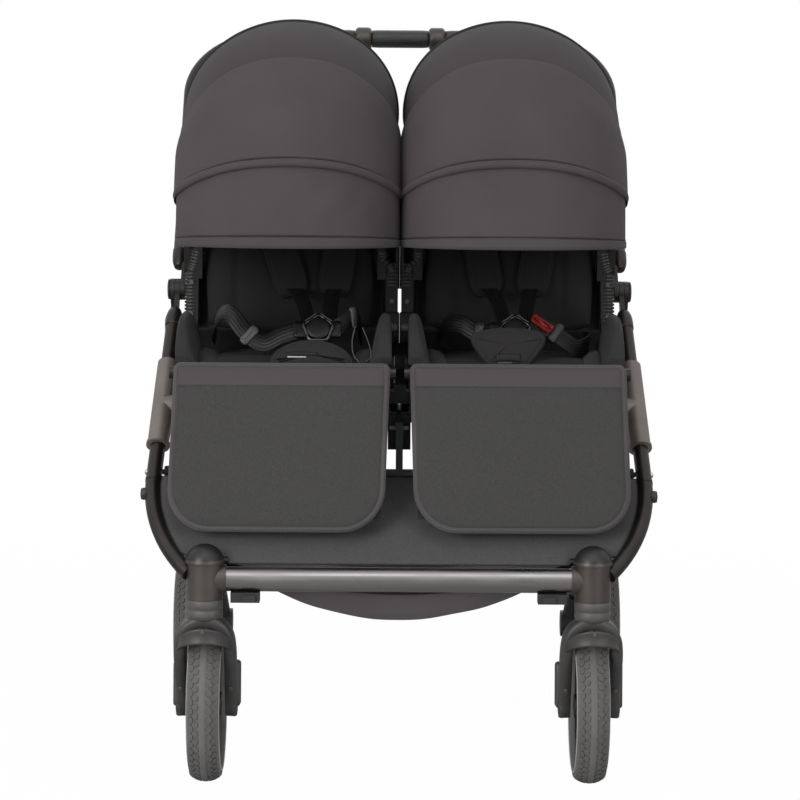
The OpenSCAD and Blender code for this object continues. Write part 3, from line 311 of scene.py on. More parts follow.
finish = {
    "framePaint": paintedMetal("framePaint", (0.020, 0.017, 0.0155), (0.030, 0.026, 0.0235), 0.36, 0.55),
    "gunmetal": brushedMetal("gunmetal", (0.19, 0.181, 0.178), (0.26, 0.247, 0.243), 0.30),
    "housingSatin": paintedMetal("housingSatin", (0.058, 0.048, 0.043), (0.076, 0.065, 0.058), 0.42, 0.5),
    "casterSatin": paintedMetal("casterSatin", (0.060, 0.050, 0.045), (0.080, 0.068, 0.061), 0.42, 0.5, (0.3212, (0.026, 0.0245, 0.024))),
    "forkPlastic": mouldedPlastic("forkPlastic", (0.038, 0.036, 0.035), (0.054, 0.051, 0.0495), 0.48),
    # brown-grey satin paint like the housing's, made much lighter to stand in for reflected light on the hinge sleeves:
    # partly painted reflection
    "sleeveSatinLit": paintedMetal("sleeveSatinLit", (0.165, 0.143, 0.131), (0.210, 0.183, 0.167), 0.45, 0.3),
    "shadowPlastic": mouldedPlastic("shadowPlastic", (0.0050, 0.0048, 0.0048), (0.0085, 0.0082, 0.0082), 0.55, Specular_IOR_Level=0.3),
    "facePlastic": mouldedPlastic("facePlastic", (0.0045, 0.0045, 0.0050), (0.0075, 0.0075, 0.0080), 0.34, 300, 0.00003,
                                  Specular_IOR_Level=0.25),
    "blackPlastic": mouldedPlastic("blackPlastic", (0.016, 0.0155, 0.0155), (0.024, 0.0235, 0.0235), 0.5),
    "greyPlastic": mouldedPlastic("greyPlastic", (0.066, 0.061, 0.059), (0.090, 0.084, 0.081), 0.5),
    "glossPlastic": mouldedPlastic("glossPlastic", (0.006, 0.006, 0.0065), (0.010, 0.010, 0.011), 0.18, 300, 0.00003, Coat_Weight=0.4),
    "canopyCloth": wovenCloth("canopyCloth", (0.049, 0.0400, 0.0430), (0.072, 0.0608, 0.0645), 0.0009, 0.00022, 0.03),
    # the same canopy cloth scaled darker for the upward-facing rear panel: painted shade
    "canopyBack": wovenCloth("canopyBack", (0.036, 0.0294, 0.0316), (0.053, 0.0447, 0.0474), 0.0009, 0.00022, 0.02),
    "canopyHem": wovenCloth("canopyHem", (0.050, 0.0425, 0.0450), (0.073, 0.0630, 0.0665), 0.0009, 0.00022, 0.05, 0.0006),
    "blackPiping": wovenCloth("blackPiping", (0.0040, 0.0038, 0.0040), (0.0080, 0.0077, 0.0080), 0.0009, 0.0002, 0.01, 0.0002),
    # paler copy of the canopy cloth for the ridge at the main panel's rear edge: painted highlight where the edge
    # catches light
    "ridgeCloth": wovenCloth("ridgeCloth", (0.072, 0.064, 0.067), (0.098, 0.089, 0.092), 0.0009, 0.0002, 0.05, 0.0002),
    # near-black copy of the canopy cloth laid along creases and folds: painted shade
    "creaseCloth": wovenCloth("creaseCloth", (0.015, 0.0125, 0.0135), (0.024, 0.0205, 0.0220), 0.0009, 0.0002, 0.01, 0.0002),
    "calfBinding": wovenCloth("calfBinding", (0.058, 0.050, 0.054), (0.085, 0.076, 0.081), 0.0011, 0.00025, 0.2, 0.0006),
    "basketCloth": wovenCloth("basketCloth", (0.092, 0.078, 0.083), (0.130, 0.112, 0.118), 0.0009, 0.00022, 0.08),
    "padCloth": wovenCloth("padCloth", (0.0125, 0.0110, 0.0120), (0.0205, 0.0182, 0.0198), 0.0012, 0.0003, 0.05, 0.0010),
    "calfMelange": feltCloth("calfMelange", (0.027, 0.0265, 0.0256), (0.070, 0.0682, 0.0664), 1150, 0.5, 1.05, 0.08,
                             (-0.020, (0.068, 0.060, 0.064))),
    "panelFelt": feltCloth("panelFelt", (0.042, 0.0405, 0.0405), (0.098, 0.095, 0.0955), 900, 0.5, 1.0, 0.06),
    "liningCloth": wovenCloth("liningCloth", (0.0042, 0.0036, 0.0037), (0.0086, 0.0075, 0.0077), 0.0012, 0.0003, 0.01, 0.0018),
    "bolsterCloth": wovenCloth("bolsterCloth", (0.0140, 0.0130, 0.0136), (0.0240, 0.0225, 0.0236), 0.0012, 0.0003, 0.04, 0.0012),
    "blackWebbing": ribbedWebbing("blackWebbing", (0.0035, 0.0034, 0.0035), (0.0090, 0.0088, 0.0090), 0.0013, 0.42),
    "gripLeather": grainedLeather("gripLeather", (0.012, 0.0118, 0.0118), (0.020, 0.0195, 0.0195)),
    "tyreRubber": mouldedPlastic("tyreRubber", (0.122, 0.117, 0.114), (0.164, 0.158, 0.154), 0.8, 700, 0.0002),
    "treadRubber": mouldedPlastic("treadRubber", (0.094, 0.090, 0.088), (0.130, 0.125, 0.122), 0.82, 700, 0.0002),
    "rimPlastic": mouldedPlastic("rimPlastic", (0.014, 0.0138, 0.0138), (0.022, 0.0215, 0.0215), 0.42),
    "paleStripe": mouldedPlastic("paleStripe", (0.42, 0.42, 0.42), (0.52, 0.52, 0.52), 0.55),
    "bareSteel": brushedMetal("bareSteel", (0.42, 0.41, 0.40), (0.55, 0.54, 0.53), 0.28),
    "redPlastic": mouldedPlastic("redPlastic", (0.24, 0.012, 0.010), (0.32, 0.018, 0.014), 0.38),
    "darkThread": wovenCloth("darkThread", (0.030, 0.027, 0.028), (0.05, 0.046, 0.047), 0.0006, 0.0001, 0.1, 0.0001),
    "paleThread": wovenCloth("paleThread", (0.10, 0.092, 0.095), (0.14, 0.13, 0.134), 0.0006, 0.0001, 0.1, 0.0001),
}
print("finishes ready:", len(finish))


# mesh helpers

def putMesh(name, points, faces, mats, picks=None, uvs=None, smooth=True):
    mesh = bpy.data.meshes.new(name)
    mesh.from_pydata([tuple(p) for p in points], [], faces)
    for key in mats if isinstance(mats, (list, tuple)) else [mats]:
        mesh.materials.append(finish[key])
    if uvs is not None:
        layer = mesh.uv_layers.new(name="clothMap")
        k = 0
        for corner in uvs:
            for uv in corner:
                layer.data[k].uv = uv
                k += 1
    for k, face in enumerate(mesh.polygons):
        face.use_smooth = smooth
        if picks is not None:
            face.material_index = picks[k]
    mesh.validate()
    mesh.update()
    piece = bpy.data.objects.new(name, mesh)
    scene.collection.objects.link(piece)
    return piece


def fixNormals(piece, merge=0.0):
    bm = bmesh.new()
    bm.from_mesh(piece.data)
    if merge:
        bmesh.ops.remove_doubles(bm, verts=bm.verts, dist=merge)
    bmesh.ops.recalc_face_normals(bm, faces=bm.faces)
    bm.to_mesh(piece.data)
    bm.free()
    piece.data.update()
    return piece


def runs(points):
    total = [0.0]
    for k in range(1, len(points)):
        total.append(total[-1] + (Vector(points[k]) - Vector(points[k - 1])).length)
    return total


def gridFaces(rows, cols, first=0, closeCol=False, flip=False):
    faces, marks = [], []
    for j in range(rows - 1):
        for i in range(cols if closeCol else cols - 1):
            n = (i + 1) % cols
            quad = [first + j * cols + i, first + j * cols + n, first + (j + 1) * cols + n, first + (j + 1) * cols + i]
            mark = [(i, j), (i + 1, j), (i + 1, j + 1), (i, j + 1)]
            if flip:
                quad.reverse()
                mark.reverse()
            faces.append(quad)
            marks.append(mark)
    return faces, marks


def clothSheet(name, rows, thick, mat, flip=False):  # closed thin sheet with its weave laid along the rows
    nRow, nCol = len(rows), len(rows[0])
    rows = [[Vector(p) for p in row] for row in rows]
    inner = []
    for j in range(nRow):
        line = []
        for i in range(nCol):
            a = rows[j][min(i + 1, nCol - 1)] - rows[j][max(i - 1, 0)]
            b = rows[min(j + 1, nRow - 1)][i] - rows[max(j - 1, 0)][i]
            n = a.cross(b)
            n = n.normalized() if n.length > 1e-12 else Vector((0, 0, 1))
            line.append(rows[j][i] - n * (thick * (-1 if flip else 1)))
        inner.append(line)
    points = [p for row in rows for p in row] + [p for row in inner for p in row]
    k = nRow * nCol
    faces, marks = gridFaces(nRow, nCol, 0, flip=flip)
    back, backMarks = gridFaces(nRow, nCol, k, flip=not flip)
    rim = [i for i in range(nCol)] + [j * nCol + nCol - 1 for j in range(1, nRow)]
    rim += [(nRow - 1) * nCol + i for i in range(nCol - 2, -1, -1)] + [j * nCol for j in range(nRow - 2, 0, -1)]
    wall = []
    for a, b in zip(rim, rim[1:] + rim[:1]):
        quad = [a, a + k, b + k, b]
        wall.append(quad[::-1] if flip else quad)
    us, vs = runs(rows[nRow // 2]), runs([row[nCol // 2] for row in rows])
    uvs = [[(us[i], vs[j]) for i, j in m] for m in marks + backMarks]
    uvs += [[(us[p % k % nCol], vs[p % k // nCol]) for p in quad] for quad in wall]
    piece = putMesh(name, points, faces + back + wall, mat, uvs=uvs)
    return fixNormals(piece)


def transport(path, closed=False):
    path = [Vector(p) for p in path]
    n = len(path)
    tangents = []
    for k in range(n):
        a = path[(k - 1) % n] if closed else path[max(k - 1, 0)]
        b = path[(k + 1) % n] if closed else path[min(k + 1, n - 1)]
        tangents.append((b - a).normalized())
    start = Vector((0, 0, 1)) if abs(tangents[0].z) < 0.9 else Vector((1, 0, 0))
    side = tangents[0].cross(start).normalized()
    frames = []
    for k in range(n):
        if k:
            side = tangents[k - 1].rotation_difference(tangents[k]) @ side
        side = (side - tangents[k] * side.dot(tangents[k])).normalized()
        frames.append((tangents[k], side, tangents[k].cross(side)))
    return path, frames


def sweep(name, path, section, mat, closed=False, sideways=None):
    path, frames = transport(path, closed)
    n, m = len(path), len(section[0]) if isinstance(section[0][0], (tuple, list, Vector)) else len(section)
    points = []
    for k in range(n):
        t, a, b = frames[k]
        if sideways is not None:
            across = Vector(sideways[k]) if isinstance(sideways, list) else Vector(sideways)
            a = (across - t * across.dot(t)).normalized()
            b = t.cross(a)
        shape = section[k] if isinstance(section[0][0], (tuple, list, Vector)) else section
        points += [path[k] + a * p[0] + b * p[1] for p in shape]
    faces, marks = gridFaces(n, m, 0, closeCol=True)
    shape = section[0] if isinstance(section[0][0], (tuple, list, Vector)) else section
    us = runs([Vector((p[0], p[1], 0)) for p in list(shape) + [shape[0]]])
    vs = runs(path)
    uvs = [[(us[i], vs[j]) for i, j in mark] for mark in marks]
    if closed:
        for i in range(m):
            faces.append([(n - 1) * m + i, (n - 1) * m + (i + 1) % m, (i + 1) % m, i])
            step = vs[-1] + (path[0] - path[-1]).length
            uvs.append([(us[i], vs[-1]), (us[i + 1], vs[-1]), (us[i + 1], step), (us[i], step)])
    else:
        faces += [list(range(m))[::-1], [(n - 1) * m + i for i in range(m)]]
        uvs += [[(us[i], 0) for i in range(m)][::-1], [(us[i], vs[-1]) for i in range(m)]]
    return fixNormals(putMesh(name, points, faces, mat, uvs=uvs))


def ringShape(r, sides=12, flat=1.0):
    return [(r * math.cos(2 * math.pi * k / sides), flat * r * math.sin(2 * math.pi * k / sides)) for k in range(sides)]


def bandShape(width, thick, edge=0.3):
    w, t, e = width / 2, thick / 2, thick * edge
    return [(-w, -t + e), (-w + e, -t), (0, -t), (w - e, -t), (w, -t + e), (w, t - e), (w - e, t), (0, t), (-w + e, t), (-w, t - e)]


def blockShape(w, h, r, steps=4):
    out = []
    for cx, cy, a0 in ((w / 2 - r, h / 2 - r, 0), (-w / 2 + r, h / 2 - r, 90), (-w / 2 + r, -h / 2 + r, 180), (w / 2 - r, -h / 2 + r, 270)):
        out += [(cx + r * math.cos(math.radians(a0 + 90 * k / steps)), cy + r * math.sin(math.radians(a0 + 90 * k / steps)))
                for k in range(steps + 1)]
    return out


def smoothPath(knots, each=8):  # soft curve through the knots
    knots = [Vector(p) for p in knots]
    ends = [knots[0] * 2 - knots[1]] + knots + [knots[-1] * 2 - knots[-2]]
    out = []
    for k in range(1, len(ends) - 2):
        a, b, c, d = ends[k - 1:k + 3]
        for j in range(each):
            t = j / each
            out.append(0.5 * ((2 * b) + (c - a) * t + (2 * a - 5 * b + 4 * c - d) * t * t + (3 * b - a - 3 * c + d) * t ** 3))
    return out + [knots[-1]]


# turned profile of (place along the axis, radius)
def lathe(name, profile, centre, mat, steps=72, picks=None, axis="X"):
    points, faces, uvs, marks = [], [], [], []
    m = len(profile)
    for k in range(steps):
        a = 2 * math.pi * k / steps
        for along, r in profile:
            spot = Vector((along, r * math.cos(a), r * math.sin(a))) if axis == "X" else Vector((r * math.cos(a), r * math.sin(a), along))
            points.append(Vector(centre) + spot)
    vs = runs([Vector((x, r, 0)) for x, r in profile])
    arc = 2 * math.pi * 0.1 / steps
    for k in range(steps):
        n = (k + 1) % steps
        for i in range(m - 1):
            faces.append([k * m + i, n * m + i, n * m + i + 1, k * m + i + 1])
            uvs.append([(k * arc, vs[i]), ((k + 1) * arc, vs[i]), ((k + 1) * arc, vs[i + 1]), (k * arc, vs[i + 1])])
            marks.append(picks[i] if picks else 0)
    piece = putMesh(name, points, faces, mat, marks if picks else None, uvs)
    return fixNormals(piece, 1e-6)


def plate(name, outline, levels, place, mat):  # solid of stacked outlines, each drawn in by its inset at its height
    n = len(outline)
    flat = [Vector((x, y, 0)) for x, y in outline]
    turn = 1 if sum(flat[k].x * flat[(k + 1) % n].y - flat[(k + 1) % n].x * flat[k].y for k in range(n)) > 0 else -1
    inward = []
    for k in range(n):
        along = (flat[(k + 1) % n] - flat[k - 1]).normalized()
        inward.append(Vector((-along.y, along.x, 0)) * turn)
    points = [place @ (flat[k] + inward[k] * inset + Vector((0, 0, h))) for inset, h in levels for k in range(n)]
    faces = gridFaces(len(levels), n, 0, closeCol=True)[0]
    mid = sum(flat, Vector()) / n
    points += [place @ (mid + Vector((0, 0, levels[0][1]))), place @ (mid + Vector((0, 0, levels[-1][1])))]
    last = (len(levels) - 1) * n
    faces += [[k, (k + 1) % n, last + n] for k in range(n)] + [[last + k, last + (k + 1) % n, last + n + 1] for k in range(n)]
    back = place.inverted()
    uvs = [[tuple((back @ points[i]).xy) for i in f] for f in faces]
    return fixNormals(putMesh(name, points, faces, mat, uvs=uvs))


def finishOff(piece, body, slot, *nodes):
    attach(piece, body)
    if nodes:
        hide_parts(*nodes)
    return piece


# node trees for what repeats

def treeStart(name, sockets):
    tree = bpy.data.node_groups.new(name, "GeometryNodeTree")
    tree.interface.new_socket("Geometry", in_out="INPUT", socket_type="NodeSocketGeometry")
    keys = {}
    for label, kind, value in sockets:
        item = tree.interface.new_socket(label, in_out="INPUT", socket_type=kind)
        if value is not None:
            item.default_value = value
        keys[label] = item.identifier
    tree.interface.new_socket("Geometry", in_out="OUTPUT", socket_type="NodeSocketGeometry")
    return tree, tree.nodes.new("NodeGroupInput"), tree.nodes.new("NodeGroupOutput"), keys


def treeEnd(tree, source, out, made):
    real = wire(tree, "GeometryNodeRealizeInstances", Geometry=made)
    dress = wire(tree, "GeometryNodeSetMaterial", Geometry=real.outputs[0], Material=source.outputs["Material"])
    tree.links.new(dress.outputs[0], out.inputs[0])


def facing(tree):  # turn from the base mesh's own outward and along directions
    outward = wire(tree, "GeometryNodeInputNamedAttribute", {"data_type": "FLOAT_VECTOR"}, Name="outward").outputs[0]
    along = wire(tree, "GeometryNodeInputNamedAttribute", {"data_type": "FLOAT_VECTOR"}, Name="along").outputs[0]
    first = wire(tree, "FunctionNodeAlignRotationToVector", {"axis": "Z"}, Vector=outward)
    return wire(tree, "FunctionNodeAlignRotationToVector", {"axis": "X", "pivot_axis": "Z"}, Rotation=first.outputs[0],
                Vector=along).outputs[0]


def stitchTree():
    tree, source, out, keys = treeStart("stitchRow", [("Pitch", "NodeSocketFloat", 0.004), ("Length", "NodeSocketFloat", 0.0028),
                                                      ("Width", "NodeSocketFloat", 0.0009), ("Material", "NodeSocketMaterial", None)])
    curve = wire(tree, "GeometryNodeMeshToCurve", Mesh=source.outputs["Geometry"])
    spaced = wire(tree, "GeometryNodeResampleCurve", Curve=curve.outputs[0])
    if hasattr(spaced, "mode"):
        spaced.mode = "LENGTH"
    tree.links.new(source.outputs["Pitch"], spaced.inputs["Length"])
    ball = wire(tree, "GeometryNodeMeshUVSphere", Segments=6, Rings=4, Radius=0.5)
    size = wire(tree, "ShaderNodeCombineXYZ", X=source.outputs["Length"], Y=source.outputs["Width"], Z=source.outputs["Width"])
    grown = wire(tree, "GeometryNodeTransform", Geometry=ball.outputs[0])
    tree.links.new(size.outputs[0], grown.inputs["Scale"])
    outward = wire(tree, "GeometryNodeInputNamedAttribute", {"data_type": "FLOAT_VECTOR"}, Name="outward").outputs[0]
    first = wire(tree, "FunctionNodeAlignRotationToVector", {"axis": "Z"}, Vector=outward)
    turn = wire(tree, "FunctionNodeAlignRotationToVector", {"axis": "X", "pivot_axis": "Z"}, Rotation=first.outputs[0],
                Vector=wire(tree, "GeometryNodeInputTangent").outputs[0])
    put = wire(tree, "GeometryNodeInstanceOnPoints", Points=spaced.outputs[0], Instance=grown.outputs[0], Rotation=turn.outputs[0])
    treeEnd(tree, source, out, put.outputs[0])
    return tree, keys


def blockTree():
    tree, source, out, keys = treeStart("treadBlocks", [("Size", "NodeSocketFloat", 0.004), ("Height", "NodeSocketFloat", 0.002),
                                                        ("Long", "NodeSocketFloat", 1.2), ("Material", "NodeSocketMaterial", None)])
    block = wire(tree, "GeometryNodeMeshCylinder", Vertices=6, Radius=source.outputs["Size"], Depth=source.outputs["Height"])
    size = wire(tree, "ShaderNodeCombineXYZ", X=source.outputs["Long"], Y=1.0, Z=1.0)
    put = wire(tree, "GeometryNodeInstanceOnPoints", Points=source.outputs["Geometry"], Instance=block.outputs[0], Rotation=facing(tree),
               Scale=size.outputs[0])
    treeEnd(tree, source, out, put.outputs[0])
    return tree, keys


def screwTree():
    tree, source, out, keys = treeStart("screwHeads", [("Radius", "NodeSocketFloat", 0.004), ("Height", "NodeSocketFloat", 0.002),
                                                       ("Material", "NodeSocketMaterial", None)])
    flat = wire(tree, "GeometryNodeMeshCylinder", Vertices=14, Radius=source.outputs["Radius"], Depth=source.outputs["Height"])
    small = wire(tree, "ShaderNodeMath", {"operation": "MULTIPLY"}, i0=source.outputs["Radius"], i1=0.72)
    cap = wire(tree, "GeometryNodeMeshCone", Vertices=14, Radius_Top=small.outputs[0], Radius_Bottom=source.outputs["Radius"])
    half = wire(tree, "ShaderNodeMath", {"operation": "MULTIPLY"}, i0=source.outputs["Height"], i1=0.5)
    tree.links.new(half.outputs[0], cap.inputs["Depth"])
    lift = wire(tree, "ShaderNodeCombineXYZ", X=0.0, Y=0.0, Z=half.outputs[0])
    raised = wire(tree, "GeometryNodeTransform", Geometry=cap.outputs[0])
    tree.links.new(lift.outputs[0], raised.inputs["Translation"])
    both = wire(tree, "GeometryNodeJoinGeometry")
    tree.links.new(flat.outputs[0], both.inputs[0])
    tree.links.new(raised.outputs[0], both.inputs[0])
    put = wire(tree, "GeometryNodeInstanceOnPoints", Points=source.outputs["Geometry"], Instance=both.outputs[0], Rotation=facing(tree))
    treeEnd(tree, source, out, put.outputs[0])
    return tree, keys


def ribTree():
    tree, source, out, keys = treeStart("armRibs", [("Width", "NodeSocketFloat", 0.02), ("Depth", "NodeSocketFloat", 0.018),
                                                    ("Height", "NodeSocketFloat", 0.0022), ("Material", "NodeSocketMaterial", None)])
    plate = wire(tree, "GeometryNodeMeshCylinder", Vertices=16, Radius=0.5, Depth=1.0)
    size = wire(tree, "ShaderNodeCombineXYZ", X=source.outputs["Width"], Y=source.outputs["Depth"], Z=source.outputs["Height"])
    put = wire(tree, "GeometryNodeInstanceOnPoints", Points=source.outputs["Geometry"], Instance=plate.outputs[0], Rotation=facing(tree),
               Scale=size.outputs[0])
    treeEnd(tree, source, out, put.outputs[0])
    return tree, keys


trees = {"stitch": stitchTree(), "block": blockTree(), "screw": screwTree(), "rib": ribTree()}


def growTree(name, kind, points, outward, along, material, lines=None, **values):
    mesh = bpy.data.meshes.new(name + "Base")
    mesh.from_pydata([tuple(p) for p in points], lines or [], [])
    for label, data in (("outward", outward), ("along", along)):
        if data is None:
            continue
        spot = mesh.attributes.new(label, "FLOAT_VECTOR", "POINT")
        for k, v in enumerate(data):
            spot.data[k].vector = tuple(v)
    base = bpy.data.objects.new(name + "Base", mesh)
    scene.collection.objects.link(base)
    tree, keys = trees[kind]
    mod = base.modifiers.new("grow", "NODES")
    mod.node_group = tree
    for label, value in values.items():
        mod[keys[label]] = value
    mod[keys["Material"]] = finish[material]
    graph = bpy.context.evaluated_depsgraph_get()
    made = bpy.data.meshes.new_from_object(base.evaluated_get(graph))
    base.modifiers.remove(mod)
    bpy.data.objects.remove(base)
    bpy.data.meshes.remove(mesh)
    made.name = name
    piece = bpy.data.objects.new(name, made)
    scene.collection.objects.link(piece)
    for face in made.polygons:
        face.use_smooth = kind == "stitch"
    return piece


def stitchLine(name, path, outward, material, pitch=0.0042, length=0.003, width=0.0009):
    lines = [(k, k + 1) for k in range(len(path) - 1)]
    return growTree(name, "stitch", path, outward, None, material, lines, Pitch=pitch, Length=length, Width=width)


print("helpers and node trees ready")


# carried-over parts

carried = {
    "framePaint": ["left_front_leg", "right_front_leg", "seat_cross_tube", "left_seat_frame", "right_seat_frame", "left_push_tube",
                   "right_push_tube", "handlebar", "left_rear_leg", "right_rear_leg", "rear_axle"],
    "gunmetal": ["front_bar"],
    "housingSatin": ["handle_collars"],
    "casterSatin": ["left_caster_housing", "right_caster_housing"],
    "sleeveSatinLit": ["side_brackets"],
    "blackPlastic": ["seat_saddles", "left_swivel_lock", "right_swivel_lock", "fold_slider", "axle_housings", "brake_pedal"],
    "shadowPlastic": ["left_backrest_frame", "right_backrest_frame", "left_calf_board", "right_calf_board"],
    "rimPlastic": ["left_front_rim", "right_front_rim", "left_rear_rim", "right_rear_rim"],
    "bareSteel": ["fold_pins"],
}
for key, names in carried.items():
    for name in names:
        cad[name].data.materials.clear()
        cad[name].data.materials.append(finish[key])
print("carried-over parts dressed")


# canopies

hood = {"reach": 0.333, "centre": 0.1614, "halfWidth": 0.1611, "swell": 0.0085, "step": 0.0038, "under": 0.0064, "lean": 0.004,
        "draw": 0.92, "visorDraw": 0.55, "square": 2.0, "shoulder": 0.58, "neck": 0.031, "rearStart": 86.0,
        "rearEnd": 127.2, "mainStart": 125.2, "mainEnd": 159.2, "visorStart": 157.0, "visorEnd": 179.0, "cloth": 0.0016, "piping": 0.0050,
        "pipingTurn": 97.0, "roll": 0.0058, "lead": 5.0, "droop": 1.4, "flush": 0.0046, "across": 96}


# arch as (radius from the pivot, place across the seat), from one neck over the top to the other
def hoodProfile(shrink, lift=0.0):
    r, hw, h = hood["reach"], hood["halfWidth"] - shrink + lift, hood["reach"] - shrink + lift
    base = hood["shoulder"] * r
    half = [(hood["neck"], hw - hood["swell"])]
    for k in range(21):
        t = k / 20
        half.append(((0.42 + 0.15 * t) * r, hw - hood["swell"] * (1 - t * t * (3 - 2 * t))))
    for k in range(61):
        a = math.radians(1.5 * k)
        half.append((base + (h - base) * math.sin(a) ** (2 / hood["square"]), hw * max(math.cos(a), 0.0) ** (2 / hood["square"])))
    return [(rho, -xi) for rho, xi in half] + [(rho, xi) for rho, xi in half[-2::-1]]


def evenly(points, n):
    total = runs(points)
    out, j = [], 0
    for k in range(n + 1):
        want = total[-1] * k / n
        while j < len(points) - 2 and total[j + 1] < want:
            j += 1
        f = (want - total[j]) / max(total[j + 1] - total[j], 1e-12)
        out.append(points[j] + (points[j + 1] - points[j]) * min(max(f, 0.0), 1.0))
    return out


# arch at one angle: droop turns its sides further, inner draws one side to the middle
def hoodLine(s, turn, shrink, lift, n=120, trim=0, droop=0.0, inner=0.0):
    flat = evenly([Vector((rho, xi, 0)) for rho, xi in hoodProfile(shrink, lift)], n)
    base = hood["shoulder"] * hood["reach"]
    line = []
    for i, p in enumerate(flat):
        t = math.radians(turn + droop * ease((abs(2 * i / n - 1) - 0.12) / 0.45))
        x = hood["centre"] + s * p.y - hood["lean"] * ease((p.x - base) / (hood["reach"] - base))
        x -= inner * max(-s * p.y / hood["halfWidth"], 0.0)
        line.append(Vector((s * x, pivotPoint.y + p.x * math.cos(t), pivotPoint.z + p.x * math.sin(t))))
    return line[trim:len(line) - trim]


def ease(f):
    f = min(max(f, 0.0), 1.0)
    return f * f * (3 - 2 * f)


def hoodPanel(name, s, shrink, start, end, rows, sag, droop=0.0, crumple=0.0, lead=0.0, flush=0.0, draw=0.0, cloth="canopyCloth"):
    n = hood["across"]
    grid = []
    for j in range(rows + 1):
        f = j / rows
        turn = start + (end - start) * f
        t = math.radians(turn)
        spoke = Vector((0, math.cos(t), math.sin(t)))
        now = shrink + flush * (1 - ease(f / 0.42))
        line = hoodLine(s, turn, now, 0.0, n, 0, lead * (1 - f) ** 2 + droop * f * f, now * draw)
        for i, p in enumerate(line):
            high = math.sin(math.pi * i / n)
            wave = 0.0008 * noise.noise(Vector((i * 0.11 + s * 4, turn * 0.09, shrink * 900)))
            pull = 0.0011 * noise.noise(Vector((i * 0.42 + s * 9, 2.0, shrink * 700))) * f ** 3
            tuck = crumple * noise.noise(Vector((i * 0.24 + f * 2.5 + s * 5, f * 2.2, 7.0))) * math.sin(math.pi * min(f * 1.15, 1.0))
            line[i] = p - spoke * (sag * math.sin(math.pi * f) * high - wave * high - pull * high - tuck * high)
        grid.append(line)
    return clothSheet(name, grid, hood["cloth"], cloth)


def hoodOut(s, path, turn):  # outward directions along an arch line
    t = math.radians(turn)
    sideways = Vector((0, -math.sin(t), math.cos(t)))
    mid = Vector((s * seatX, pivotPoint.y, pivotPoint.z))
    out = []
    for k, p in enumerate(path):
        along = (path[min(k + 1, len(path) - 1)] - path[max(k - 1, 0)]).normalized()
        n = along.cross(sideways).normalized()
        out.append(n if n.dot(p - mid) > 0 else -n)
    return out


def tubeLoop(s, n):  # line round the backrest tube, from one side over the top to the other
    half, low, top, bend = 0.1462, 0.150, 0.446, 0.060
    pts = [Vector((-half, 0, low)), Vector((-half, 0, top - bend))]
    pts += [Vector((-half + bend - bend * math.cos(math.radians(a)), 0, top - bend + bend * math.sin(math.radians(a))))
            for a in range(6, 91, 6)]
    pts += [Vector((-p.x, 0, p.z)) for p in pts[::-1]]
    return [backFrame(s) @ (p + Vector((0, 0.0075, 0))) for p in evenly(pts, n)]


def backFrame(s):
    return Matrix.Translation((s * seatX, hubPoint.y, hubPoint.z)) @ Matrix.Rotation(backTilt - math.pi / 2, 4, "X")


